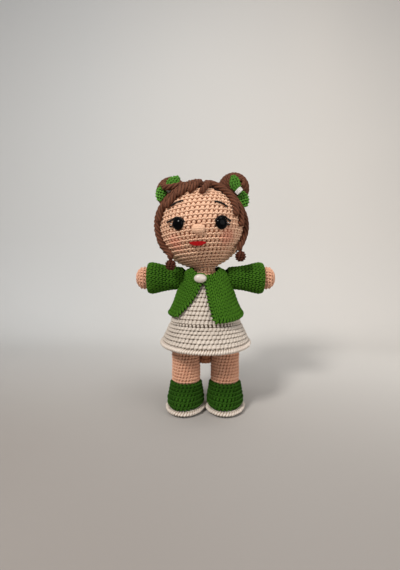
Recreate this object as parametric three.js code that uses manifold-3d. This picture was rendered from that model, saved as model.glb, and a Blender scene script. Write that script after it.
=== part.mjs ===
// A crocheted, stuffed doll with a round head, cord hair, a bolero, a dress and boots.
// Millimetres, +Z up. The doll stands on its soles and faces -Y, and its own left side is +X.
// Skins are shells round a filling, and touching pieces keep the seam gap between them.

import * as THREE from "three";
import { mergeVertices } from "three/addons/utils/BufferGeometryUtils.js";
import Module from "manifold-3d";

const wasm = await Module();
wasm.setup();

// Clearances and fabric
const seamGap = 0.3;
const cutOverrun = 3;
const skinWall = 2.6;
const limbWall = 2;
const threadRadius = 0.5;

// Heights: the waist stands above the soles, and the rest follows it up and down
const waistHeight = 83;
const torsoLength = 47.5;
const neckLength = 7;
const neckBaseHeight = waistHeight + torsoLength;
const neckTopHeight = neckBaseHeight + neckLength;
const hipDrop = 20;
const hipHeight = waistHeight - hipDrop;

// Head, measured up from the top of the neck
const headRadius = 41.6;
const headHeight = 82;
const neckRadius = 10.4;
const neckHole = 7;
const neckShift = 1.5;
const headLean = THREE.MathUtils.degToRad(4.5);

// Torso, lower body and skirt
const waistRadius = 34.2;
const hipFlare = 1.2;
const hipHalfWidth = waistRadius + hipFlare;
const hipHalfDepth = 21;
const hipEdge = 2.5;
const webHalfWidth = 4.8;
const webHalfDepth = 11;
const webDrop = 16.5;
const webHeight = hipHeight - webDrop;
const skirtThickness = 2.4;
const skirtOverlap = 2.6;
const hemDrop = 17.5;
const hemHeight = waistHeight - hemDrop;
const skirtFlare = 7.2;
const hemRadius = waistRadius + skirtFlare;
const hemCordRadius = 2.1;

// Bolero
const jacketThickness = 3;
const collarRadius = 12.2;
const collarDrop = 0.2;
const collarHeight = neckTopHeight - collarDrop;
const necklineShare = 0.25;
const jacketFlare = 4.4;
const jacketHemRadius = waistRadius + jacketFlare;
const frontLeftHemRise = 5.5;
const frontRightHemRise = 8.5;
const sideHemRise = 12;
const jacketFrontLeftHem = waistHeight + frontLeftHemRise;
const jacketFrontRightHem = waistHeight + frontRightHemRise;
const jacketSideHem = waistHeight + sideHemRise;
const pearlHalfWidth = 5.6;
const pearlHalfHeight = 3.9;
const pearlHalfDepth = 3.2;
const pearlDrop = 10.3;
const pearlHeight = collarHeight - pearlDrop;
const pearlShift = 5;
const loopCordRadius = 0.9;

// Arms and sleeves, measured out from the shoulder
const shoulderHalfSpan = 27;
const shoulderDrop = 2.5;
const shoulderHeight = neckBaseHeight - shoulderDrop;
const shoulderBallRadius = 8.3;
const armRadius = 7.6;
const handRadius = 10.6;
const armLength = 41.5;
const sleeveRootRadius = 10.6;
const sleeveRootDepth = 7;
const sleeveCuffRadius = 15;
const sleeveLength = 30;
const armRaise = THREE.MathUtils.degToRad(15);
const armLower = THREE.MathUtils.degToRad(30);

// Legs and boots
const legHalfSpan = 19.3;
const legRadius = 13.2;
const thighRadius = 13.6;
const hipPivotDrop = 5;
const hipPivotHeight = hipHeight - hipPivotDrop;
const ankleRadius = 11.3;
const bootTopHeight = 25;
const bootTopRadius = 14.6;
const bootHalfWidth = 16.8;
const toeLength = 24;
const heelLength = 15;
const bootWall = 2.8;
const rimHeight = 4.4;
const rimOverhang = 1.5;
const rimWidth = 4;
const soleThickness = 3;
const toeTurn = THREE.MathUtils.degToRad(-9);

// Hair, buns and bows
const capThickness = 3;
const cordRadius = 2.9;
const cordLift = 3.2;
const bunRadius = 16;
const ballRadius = 4.5;
const leafThickness = 3.4;
const leafLength = 15;
const leafWidth = 9.5;
const knotRadius = 2.3;

// Eyes and face
const eyeRadius = 4.6;
const eyeHeight = 3.1;
const stemRadius = 1.7;
const stemLength = 9.5;
const washerRadius = 5.6;
const washerThickness = 1.4;
const noseHalfWidth = 5.2;
const noseHalfHeight = 3.9;
const noseHalfDepth = 3.4;
const mouthHalfHeight = 2.3;
const mouthThickness = 1.6;

const tau = Math.PI * 2;
const rightAngle = Math.PI / 2;

function yarn(color, roughness = 0.9) {
  return new THREE.MeshStandardMaterial({ color, roughness, metalness: 0 });
}

const skinYarn = yarn(0xe6b894);
const whiteYarn = yarn(0xefe6da);
const greenYarn = yarn(0x2f6b1c);
const brownYarn = yarn(0x5f3728);
const blackThread = yarn(0x17120f, 0.8);
const redThread = yarn(0xc01018, 0.7);
const filling = yarn(0xf4f2ec, 1);
const eyePlastic = yarn(0x0b0b0c, 0.12);
const washerPlastic = yarn(0xdcdcd6, 0.5);
const pearlPlastic = yarn(0xece4d8, 0.2);

// Solids and booleans

function signedVolume(position, corners) {
  const [a, b, c] = [new THREE.Vector3(), new THREE.Vector3(), new THREE.Vector3()];
  let volume = 0;
  for (let i = 0; i < corners.length; i += 3) {
    a.fromBufferAttribute(position, corners[i]);
    b.fromBufferAttribute(position, corners[i + 1]);
    c.fromBufferAttribute(position, corners[i + 2]);
    volume += a.dot(b.cross(c)) / 6;
  }
  return volume;
}

function toSolid(geometry) {
  const bare = geometry.clone();
  bare.deleteAttribute("normal");
  bare.deleteAttribute("uv");
  const merged = mergeVertices(bare, 1e-4);
  const position = merged.attributes.position;
  const corners = merged.index.array;
  const kept = [];
  for (let i = 0; i < corners.length; i += 3) {
    const [a, b, c] = [corners[i], corners[i + 1], corners[i + 2]];
    if (a !== b && b !== c && c !== a) kept.push(a, b, c);
  }
  if (signedVolume(position, kept) < 0) kept.reverse();
  return new wasm.Manifold(new wasm.Mesh({
    numProp: 3,
    vertProperties: new Float32Array(position.array),
    triVerts: new Uint32Array(kept),
  }));
}

function toGeometry(solid) {
  const mesh = solid.getMesh();
  const geometry = new THREE.BufferGeometry();
  geometry.setAttribute("position", new THREE.BufferAttribute(new Float32Array(mesh.vertProperties), 3));
  geometry.setIndex(new THREE.BufferAttribute(new Uint32Array(mesh.triVerts), 1));
  geometry.computeVertexNormals();
  return geometry;
}

function union(solids) {
  return solids.reduce((sum, solid) => sum.add(solid));
}

function cut(solid, cutters) {
  return cutters.reduce((rest, cutter) => rest.subtract(cutter), solid);
}

function addNode(parent, name, material, solid) {
  const mesh = new THREE.Mesh(toGeometry(solid), material);
  mesh.name = name;
  parent.add(mesh);
}

// Shapes

function geometryFrom(points, corners) {
  const geometry = new THREE.BufferGeometry().setFromPoints(points);
  geometry.setIndex(corners);
  return geometry;
}

function sideCorners(rings, closed) {
  const sides = rings[0].length;
  const last = closed ? rings.length : rings.length - 1;
  const corners = [];
  for (let r = 0; r < last; r++) {
    const [here, there] = [r * sides, ((r + 1) % rings.length) * sides];
    for (let s = 0; s < sides; s++) {
      const next = (s + 1) % sides;
      corners.push(here + s, here + next, there + s, here + next, there + next, there + s);
    }
  }
  return corners;
}

// A closed skin over rings of points, each end ring drawn to its middle.
function loft(rings) {
  const sides = rings[0].length;
  const points = rings.flat();
  const corners = sideCorners(rings, false);
  const lastFirst = (rings.length - 1) * sides;
  const lowTip = points.push(middleOf(rings[0])) - 1;
  const highTip = points.push(middleOf(rings.at(-1))) - 1;
  for (let s = 0; s < sides; s++) {
    const next = (s + 1) % sides;
    corners.push(next, s, lowTip, lastFirst + s, lastFirst + next, highTip);
  }
  return toSolid(geometryFrom(points, corners));
}

function middleOf(ring) {
  return ring.reduce((sum, p) => sum.add(p), new THREE.Vector3()).divideScalar(ring.length);
}

// A closed tube wall: up the outer rings and back down the inner rings.
function tubeWall(outer, inner) {
  const rings = [...outer, ...[...inner].reverse()];
  return toSolid(geometryFrom(rings.flat(), sideCorners(rings, true)));
}

// A closed plate over strips of points, each strip running along one face and back along the other.
function plate(strips) {
  const wide = strips[0].length;
  const corners = sideCorners(strips, false);
  const lastFirst = (strips.length - 1) * wide;
  for (let s = 0; s + 1 < wide / 2; s++) {
    const [a, b, c, d] = [s, s + 1, wide - 2 - s, wide - 1 - s];
    corners.push(b, a, d, b, d, c);
    corners.push(lastFirst + a, lastFirst + b, lastFirst + d, lastFirst + b, lastFirst + c, lastFirst + d);
  }
  return toSolid(geometryFrom(strips.flat(), corners));
}

// A shape turned about Z. The [radius, height] pairs start and end on the axis, or close on themselves.
function lathe(pairs, sides) {
  const points = pairs.map(([radius, height]) => new THREE.Vector2(radius, height));
  return new THREE.LatheGeometry(points, sides).rotateX(rightAngle);
}

function smoothProfile(pairs, count) {
  return new THREE.SplineCurve(pairs.map(([r, z]) => new THREE.Vector2(r, z))).getSpacedPoints(count);
}

// The profile moved out along its own normals, as [radius, height] pairs.
function offsetPairs(profile, distance) {
  return profile.map((point, i) => {
    const [before, after] = [profile[Math.max(i - 1, 0)], profile[Math.min(i + 1, profile.length - 1)]];
    const along = after.clone().sub(before).normalize();
    return [Math.max(point.x + along.y * distance, 0), point.y - along.x * distance];
  });
}

function ball(radius, centre, sides = 20) {
  return ellipsoid(new THREE.Vector3(radius, radius, radius), centre, sides);
}

function ellipsoid(halves, centre, sides = 16) {
  return toSolid(new THREE.SphereGeometry(1, sides, Math.round(sides * 0.6)).rotateX(rightAngle)
    .scale(halves.x, halves.y, halves.z).translate(centre.x, centre.y, centre.z));
}

// A ball whose flat faces stay outside the round one, so that a part can turn in the room it cuts.
function roomyBall(radius, centre, sides = 16) {
  return ball(radius / Math.cos(Math.PI / sides) ** 2, centre, sides);
}

function ovalRing(halfWidth, front, back, height, sides = 28) {
  return Array.from({ length: sides }, (_, s) => {
    const angle = (s / sides) * tau;
    const reach = Math.sin(angle) < 0 ? front : back;
    return new THREE.Vector3(halfWidth * Math.cos(angle), reach * Math.sin(angle), height);
  });
}

function roundRing(radius, height, sides = 28) {
  return ovalRing(radius, radius, radius, height, sides);
}

// A cord with rounded ends, or with grow the room round it.
function cord(points, radius, outward, { sides, steps, grow = 0 }) {
  const curve = new THREE.CatmullRomCurve3(points);
  const length = curve.getLength();
  const endShares = [0.08, 0.5, 1];
  const endReach = Math.min(radius, length / 2.5);
  const along = [
    ...endShares.map((share) => share * endReach),
    ...Array.from({ length: steps }, (_, i) => endReach
      + ((length - 2 * endReach) * (i + 1)) / (steps + 1)),
    ...endShares.map((share) => length - share * endReach).reverse(),
  ];
  return loft(along.map((distance) => {
    const near = Math.min(distance, length - distance, endReach) / endReach;
    const size = radius * Math.sqrt(1 - (1 - near) ** 2) + grow;
    const middle = curve.getPointAt(distance / length);
    const tangent = curve.getTangentAt(distance / length);
    const up = outward(middle).projectOnPlane(tangent).normalize();
    const across = tangent.clone().cross(up);
    return Array.from({ length: sides }, (_, s) => middle.clone()
      .addScaledVector(across, size * Math.cos((s / sides) * tau))
      .addScaledVector(up, size * Math.sin((s / sides) * tau)));
  }));
}

function seated(geometry, direction, place) {
  const turn = new THREE.Quaternion().setFromUnitVectors(new THREE.Vector3(0, 0, 1), direction);
  return toSolid(geometry.applyQuaternion(turn).translate(place.x, place.y, place.z));
}

const doll = new THREE.Group();

// Arms and sleeves, drawn along +X from the shoulder and mirrored for the right side

const sleeveShares = [[0.2, 0.08], [0.47, 0.4], [0.73, 0.74], [1, 1]];

// The sleeve's root is a dome about the shoulder, so it turns inside its armhole.
function sleevePairs(inset) {
  const root = sleeveRootRadius - inset;
  return [
    ...[1, 0.5, 0].map((share) => [
      Math.sqrt(root ** 2 - (share * sleeveRootDepth) ** 2), -share * sleeveRootDepth]),
    ...sleeveShares.map(([out, swell]) => [
      THREE.MathUtils.lerp(root, sleeveCuffRadius - inset, swell), out * sleeveLength]),
  ];
}

const armShares = [[0.2, 0], [0.42, 0.05], [0.6, 0.6], [0.75, 1], [0.88, 0.86]];

function armPairs(inset, ballInset = inset) {
  const ballRadius = shoulderBallRadius - ballInset;
  return [
    [0, -ballRadius], [ballRadius * 0.62, -ballRadius * 0.78], [ballRadius * 0.93, -ballRadius * 0.37],
    [ballRadius, 0],
    ...armShares.map(([out, swell]) => [
      THREE.MathUtils.lerp(armRadius, handRadius, swell) - inset, out * armLength]),
    [(handRadius - inset) * 0.5, armLength * 0.97 - inset], [0, armLength - inset],
  ];
}

function alongArm(pairs, sides, side, swing = 0) {
  const geometry = lathe(pairs, sides).rotateY(rightAngle).rotateY(-swing);
  if (side < 0) geometry.scale(-1, 1, 1);
  return toSolid(geometry.translate(side * shoulderHalfSpan, 0, shoulderHeight));
}

// The room that the sleeve needs from its lowest to its highest place.
function sleeveSweep(side) {
  const reach = sleevePairs(-3 * seamGap).slice(2);
  const envelope = [[0, 0], ...reach, [0, sleeveLength]];
  const places = [-armLower, 0, armRaise].map((swing) => alongArm(envelope, 12, side, swing));
  return union([...places, shoulderBall(side, sleeveRootRadius + seamGap)]);
}

function shoulderBall(side, radius) {
  return roomyBall(radius, new THREE.Vector3(side * shoulderHalfSpan, 0, shoulderHeight));
}

for (const [side, name] of [[1, "left"], [-1, "right"]]) {
  const throatRadius = armRadius - limbWall;
  const throatBottom = -shoulderBallRadius - cutOverrun;
  const throat = [[0, throatBottom], [throatRadius, throatBottom], [throatRadius, 0], [0, 0]];
  const hollow = alongArm(armPairs(limbWall), 8, side).add(alongArm(throat, 8, side));
  addNode(doll, `arm_${name}`, skinYarn, alongArm(armPairs(0), 16, side).subtract(hollow));
  addNode(doll, `arm_stuffing_${name}`, filling, alongArm(armPairs(limbWall + seamGap), 8, side));
  const sleeveWall = [...sleevePairs(0), ...sleevePairs(limbWall).reverse()];
  addNode(doll, `sleeve_${name}`, greenYarn, alongArm([...sleeveWall, sleeveWall[0]], 16, side));
}

const sleeveSweeps = [1, -1].map(sleeveSweep);
const shoulderSockets = [1, -1].map((side) => shoulderBall(side, shoulderBallRadius + seamGap));

// Legs and boots

const bootShares = [[0, 1, 1], [0.28, 1.02, 0.94], [0.56, 0.96, 0.77], [0.8, 0.91, 0.65]];

function bootRing(side, halfWidth, front, back, height) {
  return ovalRing(halfWidth, front, back, height, 16).map((p) => p
    .applyAxisAngle(new THREE.Vector3(0, 0, 1), toeTurn)
    .add(new THREE.Vector3(side * legHalfSpan, 0, 0)));
}

function bootRings(side, inset, bottom, top) {
  return [
    ...bootShares.map(([rise, widthShare, toeShare]) => bootRing(side,
      bootHalfWidth * widthShare - inset, toeLength * toeShare - inset, heelLength - inset,
      THREE.MathUtils.lerp(bottom, top, rise))),
    bootRing(side, bootTopRadius - inset, bootTopRadius - inset, bootTopRadius - inset, top),
  ];
}

function solePlate(side, inset, bottom, top) {
  return loft([bottom, top].map((height) => bootRing(side,
    bootHalfWidth - inset, toeLength - inset, heelLength - inset, height)));
}

function rimWall(side) {
  const soften = rimOverhang / 2;
  const ring = (inset, height) => bootRing(side,
    bootHalfWidth - inset, toeLength - inset, heelLength - inset, height);
  const heights = [0, rimHeight / 2, rimHeight];
  const outer = heights.map((h, i) => ring(-rimOverhang + (i === 1 ? 0 : soften), h));
  const inner = heights.map((h) => ring(rimWidth - rimOverhang, h));
  return tubeWall(outer, inner);
}

function legPairs(inset, bottom) {
  const pivotRadius = thighRadius - inset;
  const dome = [0.25, 0.6, 0.85].map((share) => [
    pivotRadius * Math.cos(share * rightAngle), hipPivotHeight + pivotRadius * Math.sin(share * rightAngle)]);
  return [
    [0, bottom], [ankleRadius - inset, bottom], [ankleRadius - inset, bootTopHeight + seamGap + inset],
    [legRadius - inset, bootTopHeight + seamGap + inset + limbWall / 2],
    [legRadius - inset, THREE.MathUtils.lerp(bootTopHeight, hipPivotHeight, 0.6)],
    [pivotRadius, hipPivotHeight], ...dome, [0, hipPivotHeight + pivotRadius],
  ];
}

function thighBall(side, radius) {
  return roomyBall(radius, new THREE.Vector3(side * legHalfSpan, 0, hipPivotHeight));
}

const bootBottom = rimHeight + seamGap;
const legBottom = bootBottom + bootWall * 2;

for (const [side, name] of [[1, "left"], [-1, "right"]]) {
  const legAt = (pairs, sides) => toSolid(lathe(pairs, sides).translate(side * legHalfSpan, 0, 0));
  const legHollow = legAt(legPairs(limbWall, legBottom - cutOverrun), 12);
  addNode(doll, `leg_${name}`, skinYarn, legAt(legPairs(0, legBottom), 16).subtract(legHollow));
  addNode(doll, `boot_${name}`, greenYarn, tubeWall(
    bootRings(side, 0, bootBottom, bootTopHeight), bootRings(side, bootWall, bootBottom, bootTopHeight)));
  addNode(doll, `sole_rim_${name}`, whiteYarn, rimWall(side));
  const soleInset = rimWidth - rimOverhang + seamGap;
  addNode(doll, `sole_${name}`, greenYarn, solePlate(side, soleInset, 0, soleThickness));
  const footBottom = soleThickness + seamGap;
  const footRings = bootRings(side, bootWall + seamGap, bootBottom, bootTopHeight).slice(0, 2);
  footRings.forEach((ring, i) => ring.forEach((p) => { p.z = i === 0 ? footBottom : legBottom - seamGap; }));
  const column = legAt(legPairs(limbWall + seamGap, footBottom), 12);
  addNode(doll, `leg_stuffing_${name}`, filling, column.add(loft(footRings)));
}

const thighSockets = [1, -1].map((side) => thighBall(side, thighRadius + seamGap));

// Torso: a bodice shell over a lower body cup, with one filling inside both

const torsoShares = [
  [1, 0], [0.97, 0.16], [0.885, 0.36], [0.79, 0.54], [0.7, 0.7], [0.62, 0.84], [0.55, 0.92], [0.44, 0.97],
];
const torsoProfile = smoothProfile([
  ...torsoShares.map(([r, h]) => [r * waistRadius, THREE.MathUtils.lerp(waistHeight, neckBaseHeight, h)]),
  [neckRadius, neckBaseHeight],
], 9);

function torsoRadius(height) {
  const above = torsoProfile.findIndex((p) => p.y >= height);
  const [low, high] = [torsoProfile[Math.max(above - 1, 0)], torsoProfile[above]];
  return THREE.MathUtils.mapLinear(height, low.y, high.y, low.x, high.x);
}

function torsoForm(distance, bottom, sides = 20) {
  const pairs = offsetPairs(torsoProfile, distance);
  return toSolid(lathe([[0, bottom], [pairs[0][0], bottom], ...pairs.slice(1), [0, pairs.at(-1)[1]]], sides));
}

// A round column that leans over from the torso to the foot of the head.
function neckColumn(radius, bottom, top) {
  const heights = [bottom, Math.max(bottom, neckBaseHeight) + seamGap, top];
  const foot = neckBaseHeight + seamGap;
  return loft(heights.map((height) => {
    const share = Math.max((height - foot) / (neckTopHeight - foot), 0);
    return roundRing(radius, height, 18).map((p) => new THREE.Vector3(
      p.x * Math.cos(headLean * share) - neckShift * share, p.y,
      p.z + p.x * Math.sin(headLean * share)));
  }));
}

const bodiceHollow = torsoForm(-skinWall, waistHeight - cutOverrun, 16)
  .add(neckColumn(neckHole, neckBaseHeight - 2 * skinWall, neckTopHeight));
addNode(doll, "bodice", whiteYarn,
  cut(torsoForm(0, waistHeight), [bodiceHollow, ...sleeveSweeps, ...shoulderSockets]));
addNode(doll, "neck", skinYarn, neckColumn(neckRadius, neckBaseHeight + seamGap, neckTopHeight)
  .subtract(neckColumn(neckHole, neckBaseHeight - cutOverrun, neckTopHeight + cutOverrun)));

function hipForm(inset, top, sides = 20) {
  return loft([
    ovalRing(hipHalfWidth - hipEdge - inset, hipHalfDepth - hipEdge - inset,
      hipHalfDepth - hipEdge - inset, hipHeight + inset, sides),
    ovalRing(hipHalfWidth - inset, hipHalfDepth - inset, hipHalfDepth - inset,
      hipHeight + hipEdge + Math.max(inset, 0), sides),
    roundRing(waistRadius - inset, waistHeight - hipEdge, sides),
    roundRing(waistRadius - inset, top, sides),
  ]);
}

const hipWeb = loft([
  ovalRing(webHalfWidth, webHalfDepth / 2, webHalfDepth / 2, webHeight, 14),
  ovalRing(webHalfWidth, webHalfDepth, webHalfDepth, hipHeight - hipEdge, 14),
  ovalRing(webHalfWidth, webHalfDepth, webHalfDepth, hipHeight + hipEdge, 14),
]);
const hipOuter = hipForm(0, waistHeight - seamGap);
const hipShell = hipOuter.subtract(hipForm(skinWall, waistHeight + cutOverrun, 16));
const thighCups = [1, -1].map((side) => thighBall(side, thighRadius + seamGap + limbWall)
  .intersect(hipOuter));
addNode(doll, "lower_body", skinYarn, cut(union([hipShell, hipWeb, ...thighCups]), thighSockets));

const hipWebGuard = loft([hipHeight, hipHeight + hipEdge + seamGap].map((height) => ovalRing(
  webHalfWidth + seamGap, webHalfDepth + seamGap, webHalfDepth + seamGap, height, 14)));
const fillingInset = skinWall + seamGap;
const torsoFilling = union([
  torsoForm(-fillingInset, waistHeight - hipEdge, 16),
  hipForm(fillingInset, waistHeight, 16),
  neckColumn(neckHole - seamGap, neckBaseHeight - 2 * skinWall, neckTopHeight - skinWall),
]);
addNode(doll, "torso_stuffing", filling, cut(torsoFilling, [
  ...[1, -1].map((side) => thighBall(side, thighRadius + 2 * seamGap + limbWall)),
  hipWebGuard, ...sleeveSweeps, ...shoulderSockets,
]));

// Skirt and its corded hem

const skirtShares = [[0, 0], [0.33, 0.26], [0.66, 0.58], [1, 1]];
const skirtTop = waistHeight + skirtOverlap;
const skirtBottom = hemHeight + hemCordRadius / 2;

function skirtWall(grow) {
  const topRadius = torsoRadius(skirtTop) + seamGap + skirtThickness;
  const rings = (inset) => skirtShares.map(([drop, spread]) => roundRing(
    THREE.MathUtils.lerp(topRadius, hemRadius + hemCordRadius / 2, spread) - inset,
    THREE.MathUtils.lerp(skirtTop, skirtBottom - grow, drop), 24));
  return tubeWall(rings(-grow), rings(skirtThickness + grow));
}

addNode(doll, "skirt", whiteYarn, cut(skirtWall(0), [
  torsoForm(seamGap, waistHeight - cutOverrun), hipForm(-seamGap, waistHeight)]));
const hemRing = new THREE.TorusGeometry(hemRadius, hemCordRadius, 6, 24).translate(0, 0, hemHeight);
addNode(doll, "skirt_hem", whiteYarn, toSolid(hemRing).subtract(skirtWall(seamGap)));

// Bolero: panels round the torso. Angles are counted from the front, with the left side positive.

const jacketShares = [
  [0.13, 0.015], [0.28, 0.06], [0.39, 0.15], [0.49, 0.3], [0.58, 0.46], [0.72, 0.68], [0.87, 0.85], [1, 1],
];
const jacketProfile = smoothProfile([
  [collarRadius, collarHeight],
  ...jacketShares.map(([spread, drop]) => [
    THREE.MathUtils.lerp(collarRadius, jacketHemRadius, spread),
    THREE.MathUtils.lerp(collarHeight, jacketFrontLeftHem - seamGap, drop)]),
], 40);

function jacketReach(height) {
  const below = Math.max(jacketProfile.findIndex((p) => p.y <= height), 1);
  const [p, q] = [jacketProfile[below - 1], jacketProfile[below]];
  return (below - 1 + (p.y - height) / (p.y - q.y)) / (jacketProfile.length - 1);
}

function jacketPoint(angle, share, inset) {
  const place = share * (jacketProfile.length - 1);
  const at = Math.min(Math.floor(place), jacketProfile.length - 2);
  const [p, q] = [jacketProfile[at], jacketProfile[at + 1]];
  const along = q.clone().sub(p);
  const point = p.clone().addScaledVector(along, place - at);
  along.normalize();
  const radius = point.x + along.y * inset;
  const height = point.y - along.x * inset;
  return new THREE.Vector3(radius * Math.sin(angle), -radius * Math.cos(angle), height);
}

// Each panel runs from the neckline, which is lower in front, down to the hem.
function jacketPanel(startAt, endAt, hemAt) {
  const [columns, rows] = [6, 7];
  const face = (row, inset) => Array.from({ length: columns + 1 }, (_, c) => {
    const share = row / rows;
    const angle = THREE.MathUtils.lerp(startAt(share), endAt(share), c / columns);
    const neckline = necklineShare * Math.max(Math.cos(angle), 0) ** 2;
    return jacketPoint(angle, THREE.MathUtils.lerp(neckline, jacketReach(hemAt(angle)), share), inset);
  });
  return plate(Array.from({ length: rows + 1 }, (_, row) => [
    ...face(row, 0), ...face(row, jacketThickness).reverse()]));
}

function easedHem(frontHem) {
  return (angle) => THREE.MathUtils.lerp(jacketSideHem, frontHem, Math.max(Math.cos(angle), 0));
}

const seamAngle = seamGap / jacketHemRadius;
const bodiceGuard = torsoForm(seamGap, waistHeight - cutOverrun);
const jacketCutters = [
  bodiceGuard,
  neckColumn(neckRadius + seamGap, neckBaseHeight - cutOverrun, neckTopHeight + cutOverrun),
  ...sleeveSweeps, ...shoulderSockets,
];
const frontLeftShares = { collar: 0.02, hem: 0.13 };
const frontRightShares = { collar: 0.16, hem: 0.6 };
const jacketFrontLeft = cut(jacketPanel(
  (down) => rightAngle * THREE.MathUtils.lerp(-frontLeftShares.collar, frontLeftShares.hem, down),
  () => rightAngle - seamAngle, easedHem(jacketFrontLeftHem)), jacketCutters);
const jacketFrontRight = cut(jacketPanel(
  () => -rightAngle + seamAngle,
  (down) => -rightAngle * THREE.MathUtils.lerp(frontRightShares.collar, frontRightShares.hem, down ** 0.8),
  easedHem(jacketFrontRightHem)), jacketCutters);
addNode(doll, "jacket_front_left", greenYarn, jacketFrontLeft);
addNode(doll, "jacket_front_right", greenYarn, jacketFrontRight);
addNode(doll, "jacket_back", greenYarn, cut(jacketPanel(
  () => rightAngle + seamAngle, () => 3 * rightAngle - seamAngle, () => jacketSideHem), jacketCutters));

// Pearl button on the front edges, and the yarn loop round its foot

const pearlSeat = jacketPoint(0, jacketReach(pearlHeight), 0);
const pearlPlace = new THREE.Vector3(-pearlShift, pearlSeat.y - pearlHalfDepth * 0.7, pearlHeight);
const frontsNear = [jacketFrontLeft, jacketFrontRight].map((solid) => solid.translate([0, -seamGap, 0]));
const pearlHalves = new THREE.Vector3(pearlHalfWidth, pearlHalfDepth, pearlHalfHeight);
const pearlSides = 14;
const loopRing = new THREE.TorusGeometry(1, loopCordRadius / pearlHalfWidth, 5, 10).rotateX(rightAngle)
  .scale(pearlHalfWidth, pearlHalfWidth, pearlHalfHeight)
  .translate(pearlPlace.x, pearlPlace.y + pearlHalfDepth * 0.45, pearlPlace.z);
const pearlGuard = ellipsoid(pearlHalves.clone().addScalar(seamGap), pearlPlace, pearlSides);
addNode(doll, "pearl_button", pearlPlastic,
  cut(ellipsoid(pearlHalves, pearlPlace, pearlSides), [...frontsNear, bodiceGuard]));
addNode(doll, "button_loop", greenYarn, cut(toSolid(loopRing), [pearlGuard, bodiceGuard, ...frontsNear]));

// Head: every piece is measured from the top of the neck, round the head's own leaning axis

const head = new THREE.Group();
head.position.set(-neckShift, 0, neckTopHeight);
head.rotation.y = -headLean;
doll.add(head);

const headShares = [
  [0.337, 0.039], [0.536, 0.094], [0.692, 0.149], [0.798, 0.204], [0.935, 0.295], [0.993, 0.387],
  [1, 0.49], [0.966, 0.588], [0.88, 0.698], [0.731, 0.807], [0.517, 0.905], [0.276, 0.972], [0, 1],
];
const headProfile = smoothProfile([
  [neckRadius + seamGap, seamGap], ...headShares.map(([r, h]) => [r * headRadius, h * headHeight]),
], 120);

// A place on the head: an angle from the front with the left side positive, how far up the profile it
// is, and how far it stands out. It comes with the direction straight out of the head.
function headPlace(degrees, share, lift = 0) {
  const at = THREE.MathUtils.clamp(share, 0, 1) * (headProfile.length - 1);
  const low = Math.min(Math.floor(at), headProfile.length - 2);
  const along = headProfile[low + 1].clone().sub(headProfile[low]);
  const point = headProfile[low].clone().addScaledVector(along, at - low);
  along.normalize();
  const angle = THREE.MathUtils.degToRad(degrees);
  const turn = (r, z) => new THREE.Vector3(r * Math.sin(angle), -r * Math.cos(angle), z);
  const out = turn(along.y, -along.x);
  return { place: turn(point.x, point.y).addScaledVector(out, lift), out };
}

function headForm(distance, bottom, count, sides) {
  const step = (headProfile.length - 1) / count;
  const thinned = Array.from({ length: count + 1 }, (_, i) => headProfile[Math.round(i * step)]);
  const pairs = offsetPairs(thinned, distance);
  return toSolid(lathe([
    [0, bottom], [pairs[0][0], bottom], ...pairs.slice(1, -1), [0, headHeight + distance]], sides));
}

function awayFromHead(point) {
  return new THREE.Vector3(point.x, point.y, point.z - headHeight * 0.45);
}

function facePath(places, lift) {
  return places.map(([degrees, share]) => headPlace(degrees, share, lift).place);
}

// Safety eyes: a dome with its stem through the fabric, and a washer that locks it inside

const eyeShares = { left: [24, 0.422], right: [-28, 0.444] };
const domePairs = [[0, -stemLength], [stemRadius, -stemLength], [stemRadius, 0], [eyeRadius * 0.94, 0],
  ...[0.05, 0.4, 0.7].map((share) => [eyeRadius * Math.cos(share * rightAngle),
    eyeHeight * Math.sin(share * rightAngle)]), [0, eyeHeight]];
const headGuard = headForm(seamGap, seamGap, 14, 20);
const stemGuards = [];
const washerGuards = [];
for (const name of ["left", "right"]) {
  const { place, out } = headPlace(...eyeShares[name], 2 * seamGap);
  addNode(head, `eye_${name}`, eyePlastic, seated(lathe(domePairs, 14), out, place));
  const washerPlace = place.clone().addScaledVector(out, -skinWall - 4 * seamGap - washerThickness);
  const washer = (grow, bore) => seated(lathe([
    [bore, -grow], [washerRadius + grow, -grow], [washerRadius + grow, washerThickness + grow],
    [bore, washerThickness + grow], [bore, -grow]], 12), out, washerPlace);
  addNode(head, `eye_washer_${name}`, washerPlastic, washer(0, stemRadius + seamGap));
  stemGuards.push(seated(new THREE.CylinderGeometry(stemRadius + seamGap, stemRadius + seamGap,
    2 * stemLength, 12).rotateX(rightAngle), out, place));
  washerGuards.push(seated(new THREE.CylinderGeometry(washerRadius + seamGap, washerRadius + seamGap,
    washerThickness + 2 * seamGap, 14).rotateX(rightAngle).translate(0, 0, washerThickness / 2),
  out, washerPlace));
}

const headHollow = headForm(-skinWall, -cutOverrun, 9, 12);
addNode(head, "head_skin", skinYarn, cut(
  headForm(0, seamGap, 14, 20), [headHollow, ...stemGuards, ...washerGuards]));
addNode(head, "head_stuffing", filling, cut(
  headForm(-skinWall - seamGap, seamGap, 9, 12), [...stemGuards, ...washerGuards]));

// Nose, mouth, brows and lashes

const noseShares = [-4, 0.389];
const noseSolid = ellipsoid(new THREE.Vector3(noseHalfWidth, noseHalfDepth, noseHalfHeight),
  headPlace(...noseShares).place, 12);
addNode(head, "nose", skinYarn, noseSolid.subtract(headGuard));

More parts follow.
